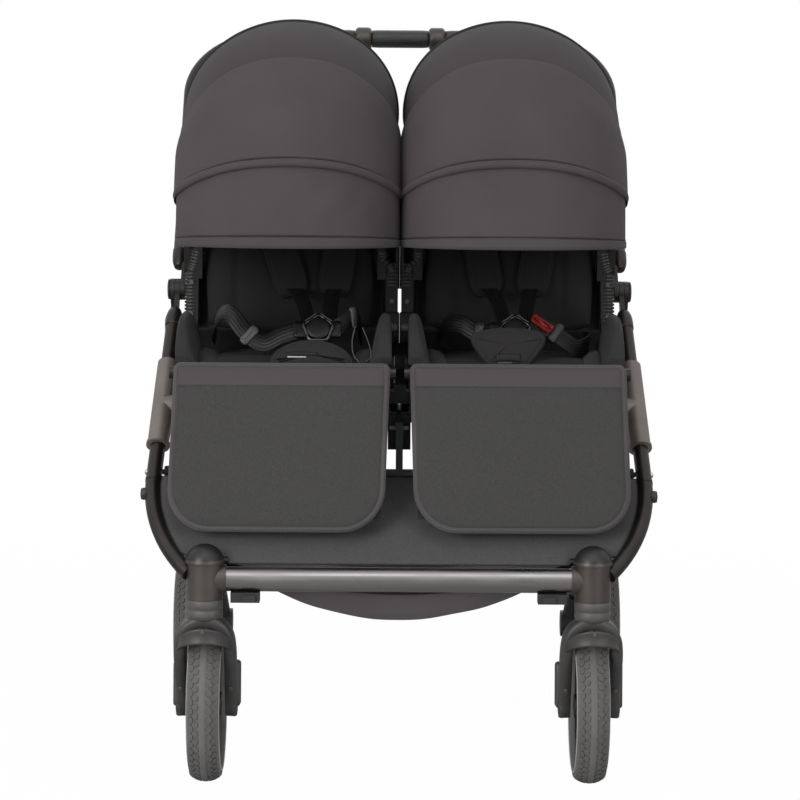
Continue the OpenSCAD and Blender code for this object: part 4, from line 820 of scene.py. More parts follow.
def makeHood(label, s):
    step, under, draw = hood["step"], hood["under"], hood["draw"]
    rear = hoodPanel(label + "HoodRear", s, under, hood["rearStart"], hood["rearEnd"], 14, 0.0006, hood["lead"], cloth="canopyBack")
    main = hoodPanel(label + "HoodMain", s, 0.0, hood["mainStart"], hood["mainEnd"], 22, 0.0005, hood["droop"], 0.0008,
                     hood["lead"], hood["flush"], draw)
    visor = hoodPanel(label + "HoodVisor", s, step, hood["visorStart"], hood["visorEnd"], 20, 0.0005, 0.0, 0.0026, 0.0, 0.0,
                      hood["visorDraw"])
    finishOff(rear, label + "_backrest", "canopy", label + "_canopy_rear")
    finishOff(main, label + "_canopy", "canopy", label + "_canopy_main")
    finishOff(visor, label + "_visor", "canopy", label + "_visor")
    arch = runs(hoodLine(s, 90, 0.0, 0.0))[-1]
    rearEdge = hoodLine(s, hood["rearStart"] + 1.4, under, -0.0026, 80)  # lies a little under the rear panel
    loop = tubeLoop(s, 80)
    rows = []
    for j in range(13):
        f = j / 12
        rows.append([a.lerp(b, f) + Vector((0, 0.012 * math.sin(math.pi * f) * math.sin(math.pi * i / 80), 0)) for i,
                     (a, b) in enumerate(zip(rearEdge, loop))])
    drop = clothSheet(label + "HoodDrop", rows, hood["cloth"], "canopyCloth")
    finishOff(drop, label + "_backrest", "canopy")
    piping = sweep(label + "HoodPiping", hoodLine(s, hood["pipingTurn"], under, -0.0006), ringShape(hood["piping"], 10), "blackPiping")
    finishOff(piping, label + "_backrest", "canopy")
    path = hoodLine(s, hood["mainEnd"] - 0.7, 0.0, 0.0006, 160, 34, hood["droop"])
    shapes = []
    for k in range(len(path)):
        f = min(1.0, 0.25 + min(k, len(path) - 1 - k) / 12)
        shapes.append(ringShape(hood["roll"] * f * (1 + 0.06 * noise.noise(Vector((k * 0.21, s * 3, 1)))), 14))
    roll = sweep(label + "HoodRoll", path, shapes, "canopyCloth")
    finishOff(roll, label + "_canopy", "canopy")
    # dark strip above the roll that stands for the crease's shade: painted shade
    path = hoodLine(s, hood["mainEnd"] - 1.95, 0.0, 0.0009, 160, 30, hood["droop"])
    finishOff(sweep(label + "HoodCreaseShade", path, ringShape(0.0018, 8), "creaseCloth"), label + "_canopy", "canopy")
    # pale ridge line where the main panel's edge catches light: painted highlight
    path = hoodLine(s, hood["mainStart"] + 0.35, hood["flush"], 0.0005, 120, 6, hood["lead"], hood["flush"] * draw)
    finishOff(sweep(label + "HoodRidgeHighlight", path, ringShape(0.0010, 8), "ridgeCloth"), label + "_canopy", "canopy")
    # dark line along the visor's fold above the hem, standing for the fold's shade: painted shade
    path = hoodLine(s, 176.1, step, 0.0012, 120, 3, 0.0, step * hood["visorDraw"])
    finishOff(sweep(label + "HoodFoldShade", path, ringShape(0.0012, 8), "creaseCloth"), label + "_visor", "canopy")
    hemRows = [hoodLine(s, turn, step, 0.0006, 90, 2, 0.0, step * hood["visorDraw"]) for turn in (176.6, 177.3, 178.2, 179.2)]
    hem = clothSheet(label + "HoodHem", hemRows, 0.0024, "canopyHem")
    finishOff(hem, label + "_visor", "canopy")
    seams = [("RearSeam", hood["mainStart"] + 0.7, hood["flush"], 0.0006, "_canopy", hood["lead"]),
             ("RearSeamTwo", hood["pipingTurn"] + 1.8, under, 0.0004, "_backrest", 0.4),
             ("RollSeam", hood["mainEnd"] - 2.5, 0.0, 0.0004, "_canopy", hood["droop"]), ("HemSeam", 176.2, step, 0.0004, "_visor", 0.0)]
    for name, turn, shrink, lift, body, droop in seams:
        path = hoodLine(s, turn, shrink, lift, 150, 4, droop,
                        shrink * {"_backrest": 0.0, "_canopy": draw, "_visor": hood["visorDraw"]}[body])
        row = stitchLine(label + "Hood" + name, path, hoodOut(s, path, turn), "paleThread" if name == "RearSeam" else "darkThread")
        finishOff(row, label + body, "canopy")
    for k in (-1, 1):  # pivot caps
        x = s * hood["centre"] + k * (hood["halfWidth"] - hood["swell"] + 0.0001)
        cap = lathe("%sHoodCap%s" % (label, "In" if k * s < 0 else "Out"),
                    [(0.0, 0.0), (0.0, 0.0125), (k * 0.0008, 0.0130), (k * 0.0013, 0.0115), (k * 0.0015, 0.007),
                     (k * 0.0010, 0.0062), (k * 0.0012, 0.0)],
                    (x, pivotPoint.y, pivotPoint.z), "blackPlastic", 40)
        finishOff(cap, label + "_backrest", "black_plastic")


for label, s in sides:
    makeHood(label, s)
print("canopies ready")


# calf rests

calfSettings = {"width": 0.302, "low": -0.225, "high": 0.012, "corner": 0.060, "topCorner": 0.010, "back": 0.0114, "thick": 0.0125,
                "crown": 0.0032, "binding": 0.0075, "band": 0.032, "splay": 0.034}


def calfFrame(s):
    return Matrix.Translation((s * seatX, railPoint.y, railPoint.z)) @ Matrix.Rotation(-calfTilt, 4, "X")


def roundedOutline(w, low, high, rLow, rHigh, each=10, side=14, across=22):
    pts = []

    def run(a, b, n):
        for k in range(n):
            pts.append((a[0] + (b[0] - a[0]) * k / n, a[1] + (b[1] - a[1]) * k / n))

    def arc(cx, cy, r, a0, n):
        for k in range(n):
            t = math.radians(a0 + 90 * k / n)
            pts.append((cx + r * math.cos(t), cy + r * math.sin(t)))

    run((-w + rLow, low), (w - rLow, low), across)
    arc(w - rLow, low + rLow, rLow, 270, each)
    run((w, low + rLow), (w, high - rHigh), side)
    arc(w - rHigh, high - rHigh, rHigh, 0, each)
    run((w - rHigh, high), (-w + rHigh, high), across)
    arc(-w + rHigh, high - rHigh, rHigh, 90, each)
    run((-w, high - rHigh), (-w, low + rLow), side)
    arc(-w + rLow, low + rLow, rLow, 180, each)
    return pts


def makeCalf(label, s):
    c = calfSettings
    place = calfFrame(s)
    w, t, b = c["width"] / 2, c["thick"], c["binding"]

    def ring(inset, height):
        pts = roundedOutline(w - inset, c["low"] + inset, c["high"] - inset, max(c["corner"] - inset, 0.004),
                             max(c["topCorner"] - inset, 0.003))
        return [(x, z, height) for x, z in pts]

    def spot(x, z, height):  # place on the rest, whose lower end leans outwards
        return place @ Vector((x + s * c["splay"] * (c["high"] - z), -c["back"] - height, z))

    steps = [(0.0022, 0.0), (0.0006, 0.0015), (0.0, t * 0.45), (0.0006, t * 0.78), (0.0026, t * 0.97), (0.0045, t),
             (b - 0.0009, t * 0.90), (b, t * 0.82), (b + 0.0009, t * 0.90), (b + 0.004, t * 0.985)]
    rings = [ring(*p) for p in steps]
    last = rings[-1]
    mid = (c["high"] + c["low"]) / 2
    for k in range(1, 9):
        f = 1 - k / 9
        rings.append([(x * f, mid + (z - mid) * f, t * 0.985 + c["crown"] * (1 - f * f)) for x, z, h in last])
    rows = [[spot(x, z, h) for x, z, h in r] for r in rings]
    n = len(rows[0])
    points = [p for row in rows for p in row]
    faces = gridFaces(len(rows), n, 0, closeCol=True)[0]
    centre = len(points)
    points.append(spot(0, mid, t * 0.985 + c["crown"]))
    flat = [(x, z) for r in rings for x, z, h in r] + [(0.0, mid)]
    last = (len(rows) - 1) * n
    faces += [[last + i, last + (i + 1) % n, centre] for i in range(n)]
    faces.append([i for i in range(n)][::-1])
    picks = []
    for k, f in enumerate(faces):
        inBinding = k < n * 7 or k == len(faces) - 1
        picks.append(0 if inBinding else 1)
    uvs = [[flat[i] for i in f] for f in faces]
    pad = fixNormals(putMesh(label + "CalfPad", points, faces, ["calfBinding", "calfMelange"], picks, uvs))
    finishOff(pad, label + "_calf_rest", "calf", label + "_calf_pad")
    line = roundedOutline(w - b + 0.0026, c["low"] + b - 0.0026, c["high"] - b + 0.0026, c["corner"] - b, 0.004)
    line = line + line[:1]
    out = (place.to_3x3() @ Vector((0, -1, 0))).normalized()
    path = [spot(x, z, t) for x, z in line]
    finishOff(stitchLine(label + "CalfStitch", path, [out] * len(path), "paleThread"), label + "_calf_rest", "calf")
    zs = c["high"] - c["band"] - 0.002
    seam = [spot(-w + b + (2 * w - 2 * b) * k / 40, zs, t * 0.985 + c["crown"] * 0.4) for k in range(41)]
    finishOff(stitchLine(label + "CalfBandStitch", seam, [out] * 41, "darkThread"), label + "_calf_rest", "calf")


for label, s in sides:
    makeCalf(label, s)
print("calf rests ready")


# front panel and basket

panelSettings = {"start": -0.3545, "end": -0.5045, "bendR": 0.2253, "straight": 0.361, "splay": math.asin(15 / 361), "off": 0.0105,
                 "inner": 0.2365,
                 "sag": 0.004, "thick": 0.004, "flatWidth": 0.672, "rodHalf": 0.3361, "rodAlong": -0.346}


def legPlane(x, y, z):
    k = math.sqrt(0.5)
    return Vector((x, hingePoint.y + (y - z) * k, hingePoint.z + (y + z) * k))


def panelHalf(y):
    p = panelSettings
    ca, sa = math.cos(p["splay"]), math.sin(p["splay"])
    best = pushX - p["off"] + 0.015
    for k in range(0, 321):
        t = math.radians(k / 10)
        a, b = -p["bendR"] + (p["bendR"] - p["off"]) * math.cos(t), -p["straight"] - (p["bendR"] - p["off"]) * math.sin(t)
        if a * sa + b * ca < y:
            break
        best = pushX + a * ca - b * sa
    floorY = p["end"] + 0.014
    if y < floorY:
        best = min(best, p["inner"])
    return best


def makePanel():
    p = panelSettings
    rows = []
    for j in range(31):
        y = p["start"] + (p["end"] - p["start"]) * j / 30
        half = panelHalf(y)
        line = []
        for i in range(61):
            u = -1 + i / 30
            sink = p["sag"] * (1 - u * u) * math.sin(math.pi * j / 30) + 0.0007 * noise.noise(Vector((u * 5, y * 24, 2)))
            line.append(legPlane(u * half, y, 0.0024 - sink))
        rows.append(line)
    panel = clothSheet("footwellPanel", rows, p["thick"], "panelFelt", flip=True)
    finishOff(panel, "chassis", "panel", "footwell_panel")
    rodX, rodY = p["rodHalf"], p["rodAlong"]
    rod = sweep("panelRod", [legPlane(-rodX + 2 * rodX * k / 24, rodY, 0) for k in range(25)], ringShape(0.004, 12), "bareSteel")
    finishOff(rod, "chassis", "steel")
    sleeve = sweep("panelRodSleeve", [legPlane(-0.322 + 0.644 * k / 40, rodY, 0.0) for k in range(41)], ringShape(0.0062, 14), "panelFelt")
    finishOff(sleeve, "chassis", "panel")
    for label, s in sides:
        loop = lathe(label + "PanelLoop",
                     [(-0.006, 0.0045), (-0.006, 0.0082), (-0.004, 0.0090), (0.004, 0.0090), (0.006, 0.0082), (0.006, 0.0045),
                      (-0.006, 0.0045)],
                     legPlane(s * 0.327, rodY, 0.0), "blackWebbing", 28)
        finishOff(loop, "chassis", "webbing")
    path = [legPlane(-0.318 + 0.636 * k / 80, -0.3555, 0.0025) for k in range(81)]
    finishOff(stitchLine("panelStitch", path, [legPlane(0, 0, 1) - legPlane(0, 0, 0)] * 81, "darkThread"), "chassis", "panel")


basketSettings = {"half": 0.262, "low": 0.2215, "rise": 0.0935, "lip": 0.048, "front": -0.304, "back": 0.170, "cloth": 0.0022,
                  "flatWidth": 0.58, "strapAt": 0.78}


def makeBasket():
    b = basketSettings
    rows = []
    nRow, nCol = 60, 64
    for j in range(nRow + 1):
        y = b["front"] + (b["back"] - b["front"]) * j / nRow
        e = min(j, nRow - j) / nRow * (b["back"] - b["front"])
        lift = b["lip"] * max(0.0, 1 - e / 0.045) ** 1.6
        line = []
        for i in range(nCol + 1):
            u = -1 + 2 * i / nCol
            z = b["low"] + b["rise"] * u * u + lift * (1 - u * u)
            fold = 0.0022 * noise.noise(Vector((u * 4.2, y * 9, 5))) * (1 - u ** 4)
            line.append(Vector((b["half"] * u, y, z + 0.0015 + fold)))
        rows.append(line)
    basket = clothSheet("shoppingBasket", rows, b["cloth"], "basketCloth", flip=True)
    finishOff(basket, "chassis", "panel", "basket")
    for name, y in (("Front", b["front"]), ("Back", b["back"])):
        rim = []
        for i in range(49):
            u = -1 + i / 24
            rim.append(Vector((b["half"] * u, y, b["low"] + b["rise"] * u * u + (b["lip"] + 0.0005) * (1 - u * u) + 0.0015)))
        piece = sweep("basketRim" + name, rim, ringShape(0.0042, 10), "blackPiping")
        finishOff(piece, "chassis", "panel")
    first = None
    for label, s in sides:
        x = s * b["strapAt"] * b["half"]
        foot = b["low"] + b["rise"] * b["strapAt"] ** 2
        strap = sweep(label + "BasketFrontStrap",
                      smoothPath([(x - s * 0.012, -0.3125, 0.296), (x - s * 0.012, -0.3122, 0.292),
                                  (x - s * 0.012, -0.311, foot + 0.008), (x - s * 0.012, -0.298, foot + 0.004),
                                  (x - s * 0.012, -0.272, foot + 0.004)], 6),
                      bandShape(0.024, 0.0016), "blackWebbing", sideways=(1, 0, 0))
        finishOff(strap, "chassis", "webbing")
        xr = s * (b["half"] - 0.011)
        top = Vector((xr, -0.071, 0.5347))
        low = Vector((xr, 0.140, b["low"] + b["rise"] * 0.92 + 0.012))
        rear = sweep(label + "BasketRearStrap", [low + (top - low) * k / 10 for k in range(11)], bandShape(0.020, 0.0016),
                     "blackWebbing", sideways=(0, 0.9, 0.6))
        finishOff(rear, "chassis", "webbing")
        first = first or strap
    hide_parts("basket_straps")


makePanel()
makeBasket()
print("front panel and basket ready")


# seats

seatSettings = {"width": 0.279, "front": -0.231, "back": 0.013, "base": 0.5493, "edge": 0.026, "crown": 0.0135, "bolster": 0.018,
                "grid": 52}
backSettings = {"width": 0.2612, "low": 0.048, "long": 0.400, "face": 0.0073, "edge": 0.024, "crown": 0.0078, "grid": 40}


def pillowPiece(name, w, l, height, draw, n, place, mat, picks=None, round=0.16):
    us = [math.sin(math.pi / 2 * (-1 + 2 * k / n)) * 0.35 + (-1 + 2 * k / n) * 0.65 for k in range(n + 1)]
    top, base, flat = [], [], []
    for v in us:
        for u in us:
            x = (w / 2 - draw * (1 - v * v)) * u * math.sqrt(1 - round * v * v * u * u)
            y = (l / 2 - draw * (1 - u * u)) * v * math.sqrt(1 - round * v * v * u * u)
            top.append(place @ Vector((x, y, height(u, v))))
            base.append(place @ Vector((x, y, 0)))
            flat.append((x, y))
    m = n + 1
    k = m * m
    faces = gridFaces(m, m)[0]
    back = gridFaces(m, m, k, flip=True)[0]
    rim = list(range(n)) + [j * m + n for j in range(n)] + [n * m + i for i in range(n, 0, -1)] + [j * m for j in range(n, 0, -1)]
    wall = [[a, a + k, b + k, b] for a, b in zip(rim, rim[1:] + rim[:1])]
    faces = faces + back + wall
    uvs = [[flat[i % k] for i in f] for f in faces]
    chosen = [picks(sum(flat[i % k][0] for i in f) / 4, sum(flat[i % k][1] for i in f) / 4) for f in faces] if picks else None
    return fixNormals(putMesh(name, top + base, faces, mat, chosen, uvs))


def hump(x, centre, width):
    return math.exp(-((x - centre) / width) ** 2)


def makeSeat(label, s):
    c = seatSettings

    def seatHeight(u, v):
        edge = max(abs(u), abs(v))
        z = c["edge"] * (1 - 0.4 * edge ** 10) + c["crown"] * (1 - u ** 4) * (1 - v ** 4)
        z += c["bolster"] * hump(abs(u), 0.92, 0.16) * math.exp(-((v + 0.25) * 1.5) ** 4) * (1 - v ** 4)
        z -= 0.004 * hump(abs(u), 0.72, 0.03) * (1 - v ** 4)
        return z - 0.0025 * (hump(v, 0.25, 0.03) + hump(v, -0.35, 0.03)) * (1 if abs(u) < 0.7 else 0)

    l = c["back"] - c["front"]
    place = Matrix.Translation((s * seatX, c["front"] + l / 2, c["base"]))
    seat = pillowPiece(label + "SeatPad", c["width"], l, seatHeight, 0.003, c["grid"], place, ["liningCloth", "bolsterCloth"],
                       lambda x, y: 1 if abs(x) > 0.70 * c["width"] / 2 else 0)
    finishOff(seat, "chassis", "lining", label + "_seat_cushion")
    b = backSettings

    def backHeight(u, v):
        edge = max(abs(u), abs(v))
        z = b["edge"] * (1 - 0.45 * edge ** 10) + b["crown"] * (1 - u ** 4) * (1 - v ** 4)
        return z - 0.0045 * (hump(abs(u), 0.62, 0.035) + 0.7 * hump(abs(u), 0.2, 0.03)) * (1 - v ** 6)

    place = backFrame(s) @ Matrix.Translation((0, -b["face"], b["low"] + b["long"] / 2)) @ Matrix.Rotation(math.pi / 2, 4, "X")
    back = pillowPiece(label + "BackPad", b["width"], b["long"], backHeight, 0.003, b["grid"], place, "liningCloth")
    finishOff(back, label + "_backrest", "lining", label + "_backrest_pad")


flapSettings = {"front": -0.224, "back": -0.050, "inner": 0.1215, "outer": 0.1526, "low": 0.5812, "high": 0.6475, "steps": 30}


def loft(name, rings, mat):
    n, m = len(rings[0]), len(rings)
    faces, marks = gridFaces(m, n, 0, closeCol=True)
    us, vs = runs(rings[m // 2] + rings[m // 2][:1]), runs([ring[0] for ring in rings])
    uvs = [[(us[i], vs[j]) for i, j in mark] for mark in marks]
    faces += [list(range(n))[::-1], [(m - 1) * n + i for i in range(n)]]
    uvs += [[(us[i], 0.0) for i in range(n)][::-1], [(us[i], vs[-1]) for i in range(n)]]
    return fixNormals(putMesh(name, [p for ring in rings for p in ring], faces, mat, uvs=uvs))


def makeFlaps(label, s):  # upright hip bolsters beside the cushion
    c = flapSettings
    wide = c["outer"] - c["inner"]
    shape = [(0.0, 0.0), (0.13, 0.30), (0.28, 0.64), (0.42, 0.87), (0.57, 0.975), (0.78, 0.99), (0.94, 0.92), (1.0, 0.62), (0.985, 0.0)]
    for k in (-1, 1):
        rings = []
        for j in range(c["steps"] + 1):
            v = -math.cos(math.pi * j / c["steps"])
            high = (c["high"] - c["low"]) * max(1 - abs(v * 0.995) ** 3.0, 0.0) ** 0.45
            y = c["front"] + (c["back"] - c["front"]) * (v + 1) / 2
            ring = smoothPath([Vector((s * seatX + k * (c["inner"] + wide * f), y, c["low"] + high * h)) for f, h in shape], 4)
            rings.append([p + Vector((0.0006 * noise.noise(p * 40), 0, 0)) for p in ring])
        flap = loft("%sHipFlap%s" % (label, "A" if k < 0 else "B"), rings, "bolsterCloth")
        finishOff(flap, "chassis", "lining")
        crest = [ring[21] for ring in rings[3:-3]]
        path = [p + Vector((0, 0, 0.0004)) for p in crest]
        finishOff(stitchLine("%sHipSeam%s" % (label, "A" if k < 0 else "B"), path, [Vector((-k * 0.5, 0, 0.86))] * len(path),
                             "darkThread"), "chassis", "lining")


for label, s in sides:
    makeSeat(label, s)
    makeFlaps(label, s)
print("seats ready")


# harness

def backSurface(s, x, z, lift=0.0):
    b = backSettings
    u, v = x / (b["width"] / 2), (z - b["low"] - b["long"] / 2) / (b["long"] / 2)
    h = b["edge"] + b["crown"] * max(0.0, (1 - u ** 4) * (1 - v ** 4))
    return backFrame(s) @ Vector((x, -b["face"] - h - lift, z))


buckleSettings = {"left": -0.1165, "right": 0.1645, "y": -0.172, "z": 0.6263, "lean": 62, "r": 0.0243, "button": 0.0168}


def buckleFrame(label):
    b = buckleSettings
    return Matrix.Translation((b[label], b["y"], b["z"])) @ Matrix.Rotation(math.radians(b["lean"]), 4, "X")


harness = {"padWidth": 0.050, "padThick": 0.0105, "strap": 0.025, "web": 0.0016,
           "left": ([(-0.066, 0.345), (-0.020, 0.190), (0.008, 0.100)], [(0.087, 0.345), (0.0765, 0.190), (0.066, 0.100)]),
           "right": ([(-0.070, 0.345), (-0.047, 0.190), (-0.0325, 0.102)], [(0.070, 0.345), (0.0465, 0.190), (0.0305, 0.102)])}


def makeShoulders(label, s):
    h = harness
    for k, knots in zip("AB", h[label]):
        line = smoothPath([Vector((x, 0, z)) for x, z in knots], 14)
        shapes = []
        for j in range(len(line)):
            f = max(0.0, 1 - min(j, len(line) - 1 - j) / 4)
            shapes.append(blockShape(h["padWidth"] * (1 - 0.3 * f * f), h["padThick"] * (1 - 0.55 * f * f), h["padThick"] * 0.20, 3))
        pad = sweep("%sShoulderPad%s" % (label, k), [backSurface(s, q.x, q.z, 0.0056) for q in line], shapes, "liningCloth",
                    sideways=(1, 0, 0))
        finishOff(pad, label + "_backrest", "lining")
        for edge in (-1, 1):
            path = [backSurface(s, q.x + edge * (h["padWidth"] / 2 - 0.0055), q.z, 0.0112) for q in line[3:-3]]
            out = (backFrame(s).to_3x3() @ Vector((0, -1, 0))).normalized()
            row = stitchLine("%sShoulderSeam%s%s" % (label, k, "In" if edge < 0 else "Out"), path, [out] * len(path), "darkThread",
                             0.0046, 0.0034, 0.0008)
            finishOff(row, label + "_backrest", "lining")
        x, z = knots[0]
        top = [backSurface(s, x * 0.99, z - 0.012, 0.009), backSurface(s, x * 1.01, z + 0.012, 0.007),
               backSurface(s, x * 1.04, z + 0.040, 0.004), backSurface(s, x * 1.06, z + 0.066, 0.001)]
        strap = sweep("%sShoulderStrap%s" % (label, k), smoothPath(top, 6), bandShape(h["strap"], h["web"]), "blackWebbing",
                      sideways=(1, 0, 0))
        finishOff(strap, label + "_backrest", "webbing")
        x, z = knots[-1]
        first = backSurface(s, x, z + 0.010, 0.006)
        spot = buckleFrame(label) @ Vector((-0.015 if k == "A" else 0.015, 0.012, -0.003))
        route = smoothPath([spot, spot.lerp(first, 0.3) + Vector((0, 0, 0.010)), spot.lerp(first, 0.7) + Vector((0, 0, 0.006)), first], 7)
        tie = sweep("%sShoulderTie%s" % (label, k), route, bandShape(0.022, h["web"]), "blackWebbing", sideways=(1, 0, 0))
        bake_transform(tie)
    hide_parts(label + "_shoulder_pads")


for label, s in sides:
    makeShoulders(label, s)
print("harness ready")


def shieldOutline(r, n=60, start=0.0, end=360.0):  # rounded five-sided shield, its point upwards
    out = []
    for k in range(n):
        t = math.radians(start + (end - start) * k / (n if end - start == 360 else n - 1))
        size = r * (0.94 + 0.06 * math.cos(5 * (t - math.pi / 2)))
        out.append((size * math.cos(t), size * math.sin(t)))
    return out


crotchSettings = {
    "left": {"place": (-0.1255, -0.205, 0.5775), "lean": 72, "mat": "padCloth", "slot": (-0.036, 0.009, 0.0150),
             "fan": [(-0.059, 0.0), (-0.050, -0.004), (0.0, -0.006), (0.050, -0.004), (0.059, 0.0), (0.057, 0.012), (0.047, 0.023),
                     (0.031, 0.0315),
                     (0.012, 0.0362), (-0.012, 0.0362), (-0.031, 0.0315), (-0.047, 0.023), (-0.057, 0.012)]},
    "right": {"place": (0.1535, -0.204, 0.5770), "lean": 76, "mat": "padCloth", "slot": (-0.017, 0.017, 0.0120),
              "fan": [(-0.026, 0.0), (0.0, -0.002), (0.026, 0.0), (0.036, 0.010), (0.046, 0.024), (0.0525, 0.036), (0.0515, 0.045),
                      (0.042, 0.0515),
                      (0.020, 0.0555), (0.0, 0.0565), (-0.020, 0.0555), (-0.042, 0.0515), (-0.0515, 0.045), (-0.0525, 0.036),
                      (-0.046, 0.024), (-0.036, 0.010)]},
}


def makeBuckle(label):
    b = buckleSettings
    place = buckleFrame(label)
    levels = [(0.0035, -0.0070), (0.0008, -0.0058), (0.0, -0.0030), (0.0, 0.0030), (0.0010, 0.0052), (0.0030, 0.0066),
              (0.0046, 0.0068), (0.0056, 0.0064), (0.0060, 0.0030)]
    body = plate(label + "Buckle", shieldOutline(b["r"]), levels, place, "glossPlastic")
    finishOff(body, "chassis", "gloss_plastic", label + "_buckle")
    for k, (start, end) in enumerate(((98, 150), (30, 82), (212, 328))):
        line = [place @ Vector((x * 0.93, y * 0.93, 0.0064)) for x, y in shieldOutline(b["r"], 18, start, end)]
        finishOff(sweep("%sBuckleLine%s" % (label, "ABC"[k]), line, ringShape(0.0007, 8),
                        "greyPlastic" if k < 2 else "facePlastic"), "chassis", "gloss_plastic")
    levels = [(0.0008, -0.0008), (0.0, 0.0), (0.0, 0.0070), (0.0008, 0.0080), (0.0026, 0.0085), (0.0060, 0.0087), (0.0110, 0.0088)]
    round = [(b["button"] * math.cos(2 * math.pi * k / 48), b["button"] * math.sin(2 * math.pi * k / 48)) for k in range(48)]
    finishOff(plate(label + "BuckleButton", round, levels, place, "facePlastic"), label + "_button", "gloss_plastic",
              label + "_buckle_button")
    c = crotchSettings[label]
    fan = [(q.x, q.y) for q in smoothPath([Vector((u, v, 0)) for u, v in c["fan"] + c["fan"][:1]], 5)[:-1]]
    stand = Matrix.Translation(c["place"]) @ Matrix.Rotation(math.radians(c["lean"]), 4, "X")
    levels = [(0.0030, -0.0060), (0.0008, -0.0050), (0.0, -0.0010), (0.0002, 0.0030), (0.0018, 0.0056), (0.0048, 0.0068),
              (0.0056, 0.0058), (0.0064, 0.0068), (0.0120, 0.0080)]
    pad = plate(label + "CrotchPad", fan, levels, stand, c["mat"])
    finishOff(pad, "chassis", "lining")
    u0, u1, v = c["slot"]
    up = tuple(stand.to_3x3() @ Vector((0, 1, 0)))
    slot = [stand @ Vector((u0 + (u1 - u0) * k / 14, v + 0.0012 * math.sin(math.pi * k / 14), 0.0084)) for k in range(15)]
    finishOff(sweep(label + "CrotchSlot", slot, bandShape(0.0050 if label == "left" else 0.0110, 0.0014), "shadowPlastic",
                    sideways=up), "chassis", "gloss_plastic")
    web = [stand @ Vector((u0 + 0.002 + (u1 - u0) * 0.6 * k / 10, v - (0.0042 if label == "left" else 0.0068), 0.0088)) for k in range(11)]
    finishOff(sweep(label + "CrotchWeb", web, bandShape(0.0022, 0.0012), "paleStripe" if label == "left" else "greyPlastic",
                    sideways=up), "chassis", "webbing")
    high = max(q[1] for q in fan)
    strap = smoothPath([stand @ Vector((0.004, high - 0.012, -0.0050)), stand @ Vector((0.004, high - 0.002, -0.0062)),
                        place @ Vector((0, -0.024, -0.004)), place @ Vector((0, -0.014, -0.003))], 6)
    finishOff(sweep(label + "CrotchStrap", strap, bandShape(0.024, 0.0016), "blackWebbing", sideways=(1, 0, 0)), "chassis", "webbing")
    mid = Vector((sum(q[0] for q in fan) / len(fan), sum(q[1] for q in fan) / len(fan)))
    edge = [stand @ Vector((mid.x + (u - mid.x) * 0.90, mid.y + (w - mid.y) * 0.86, 0.0070)) for u, w in fan]
    out = (stand.to_3x3() @ Vector((0, 0, 1))).normalized()
    finishOff(stitchLine(label + "CrotchStitch", edge + edge[:1], [out] * (len(edge) + 1), "darkThread", 0.0036, 0.0026, 0.0007),
              "chassis", "lining")


strapRoutes = {  # waist webbing from the side of the seat to the buckle, and the place of its adjuster along it
    "left": [([(-0.272, -0.030, 0.603), (-0.272, -0.075, 0.618), (-0.262, -0.120, 0.640), (-0.244, -0.148, 0.647),
               (-0.222, -0.160, 0.622), (-0.196, -0.166, 0.606),
               (-0.168, -0.170, 0.618), (-0.141, -0.1715, 0.6262)], 0.62),
             ([(-0.056, -0.030, 0.603), (-0.058, -0.080, 0.620), (-0.062, -0.125, 0.640), (-0.070, -0.150, 0.641),
               (-0.082, -0.165, 0.633), (-0.094, -0.1715, 0.6270)], 0.55)],
    "right": [([(0.056, -0.030, 0.603), (0.060, -0.075, 0.616), (0.070, -0.120, 0.632), (0.088, -0.148, 0.634),
                (0.112, -0.163, 0.622), (0.139, -0.1715, 0.6262)], 0.8),
              ([(0.272, -0.030, 0.603), (0.276, -0.080, 0.606), (0.272, -0.125, 0.604), (0.256, -0.152, 0.600),
                (0.236, -0.164, 0.612), (0.214, -0.168, 0.628), (0.190, -0.1715, 0.6290)], 0.78)],
}


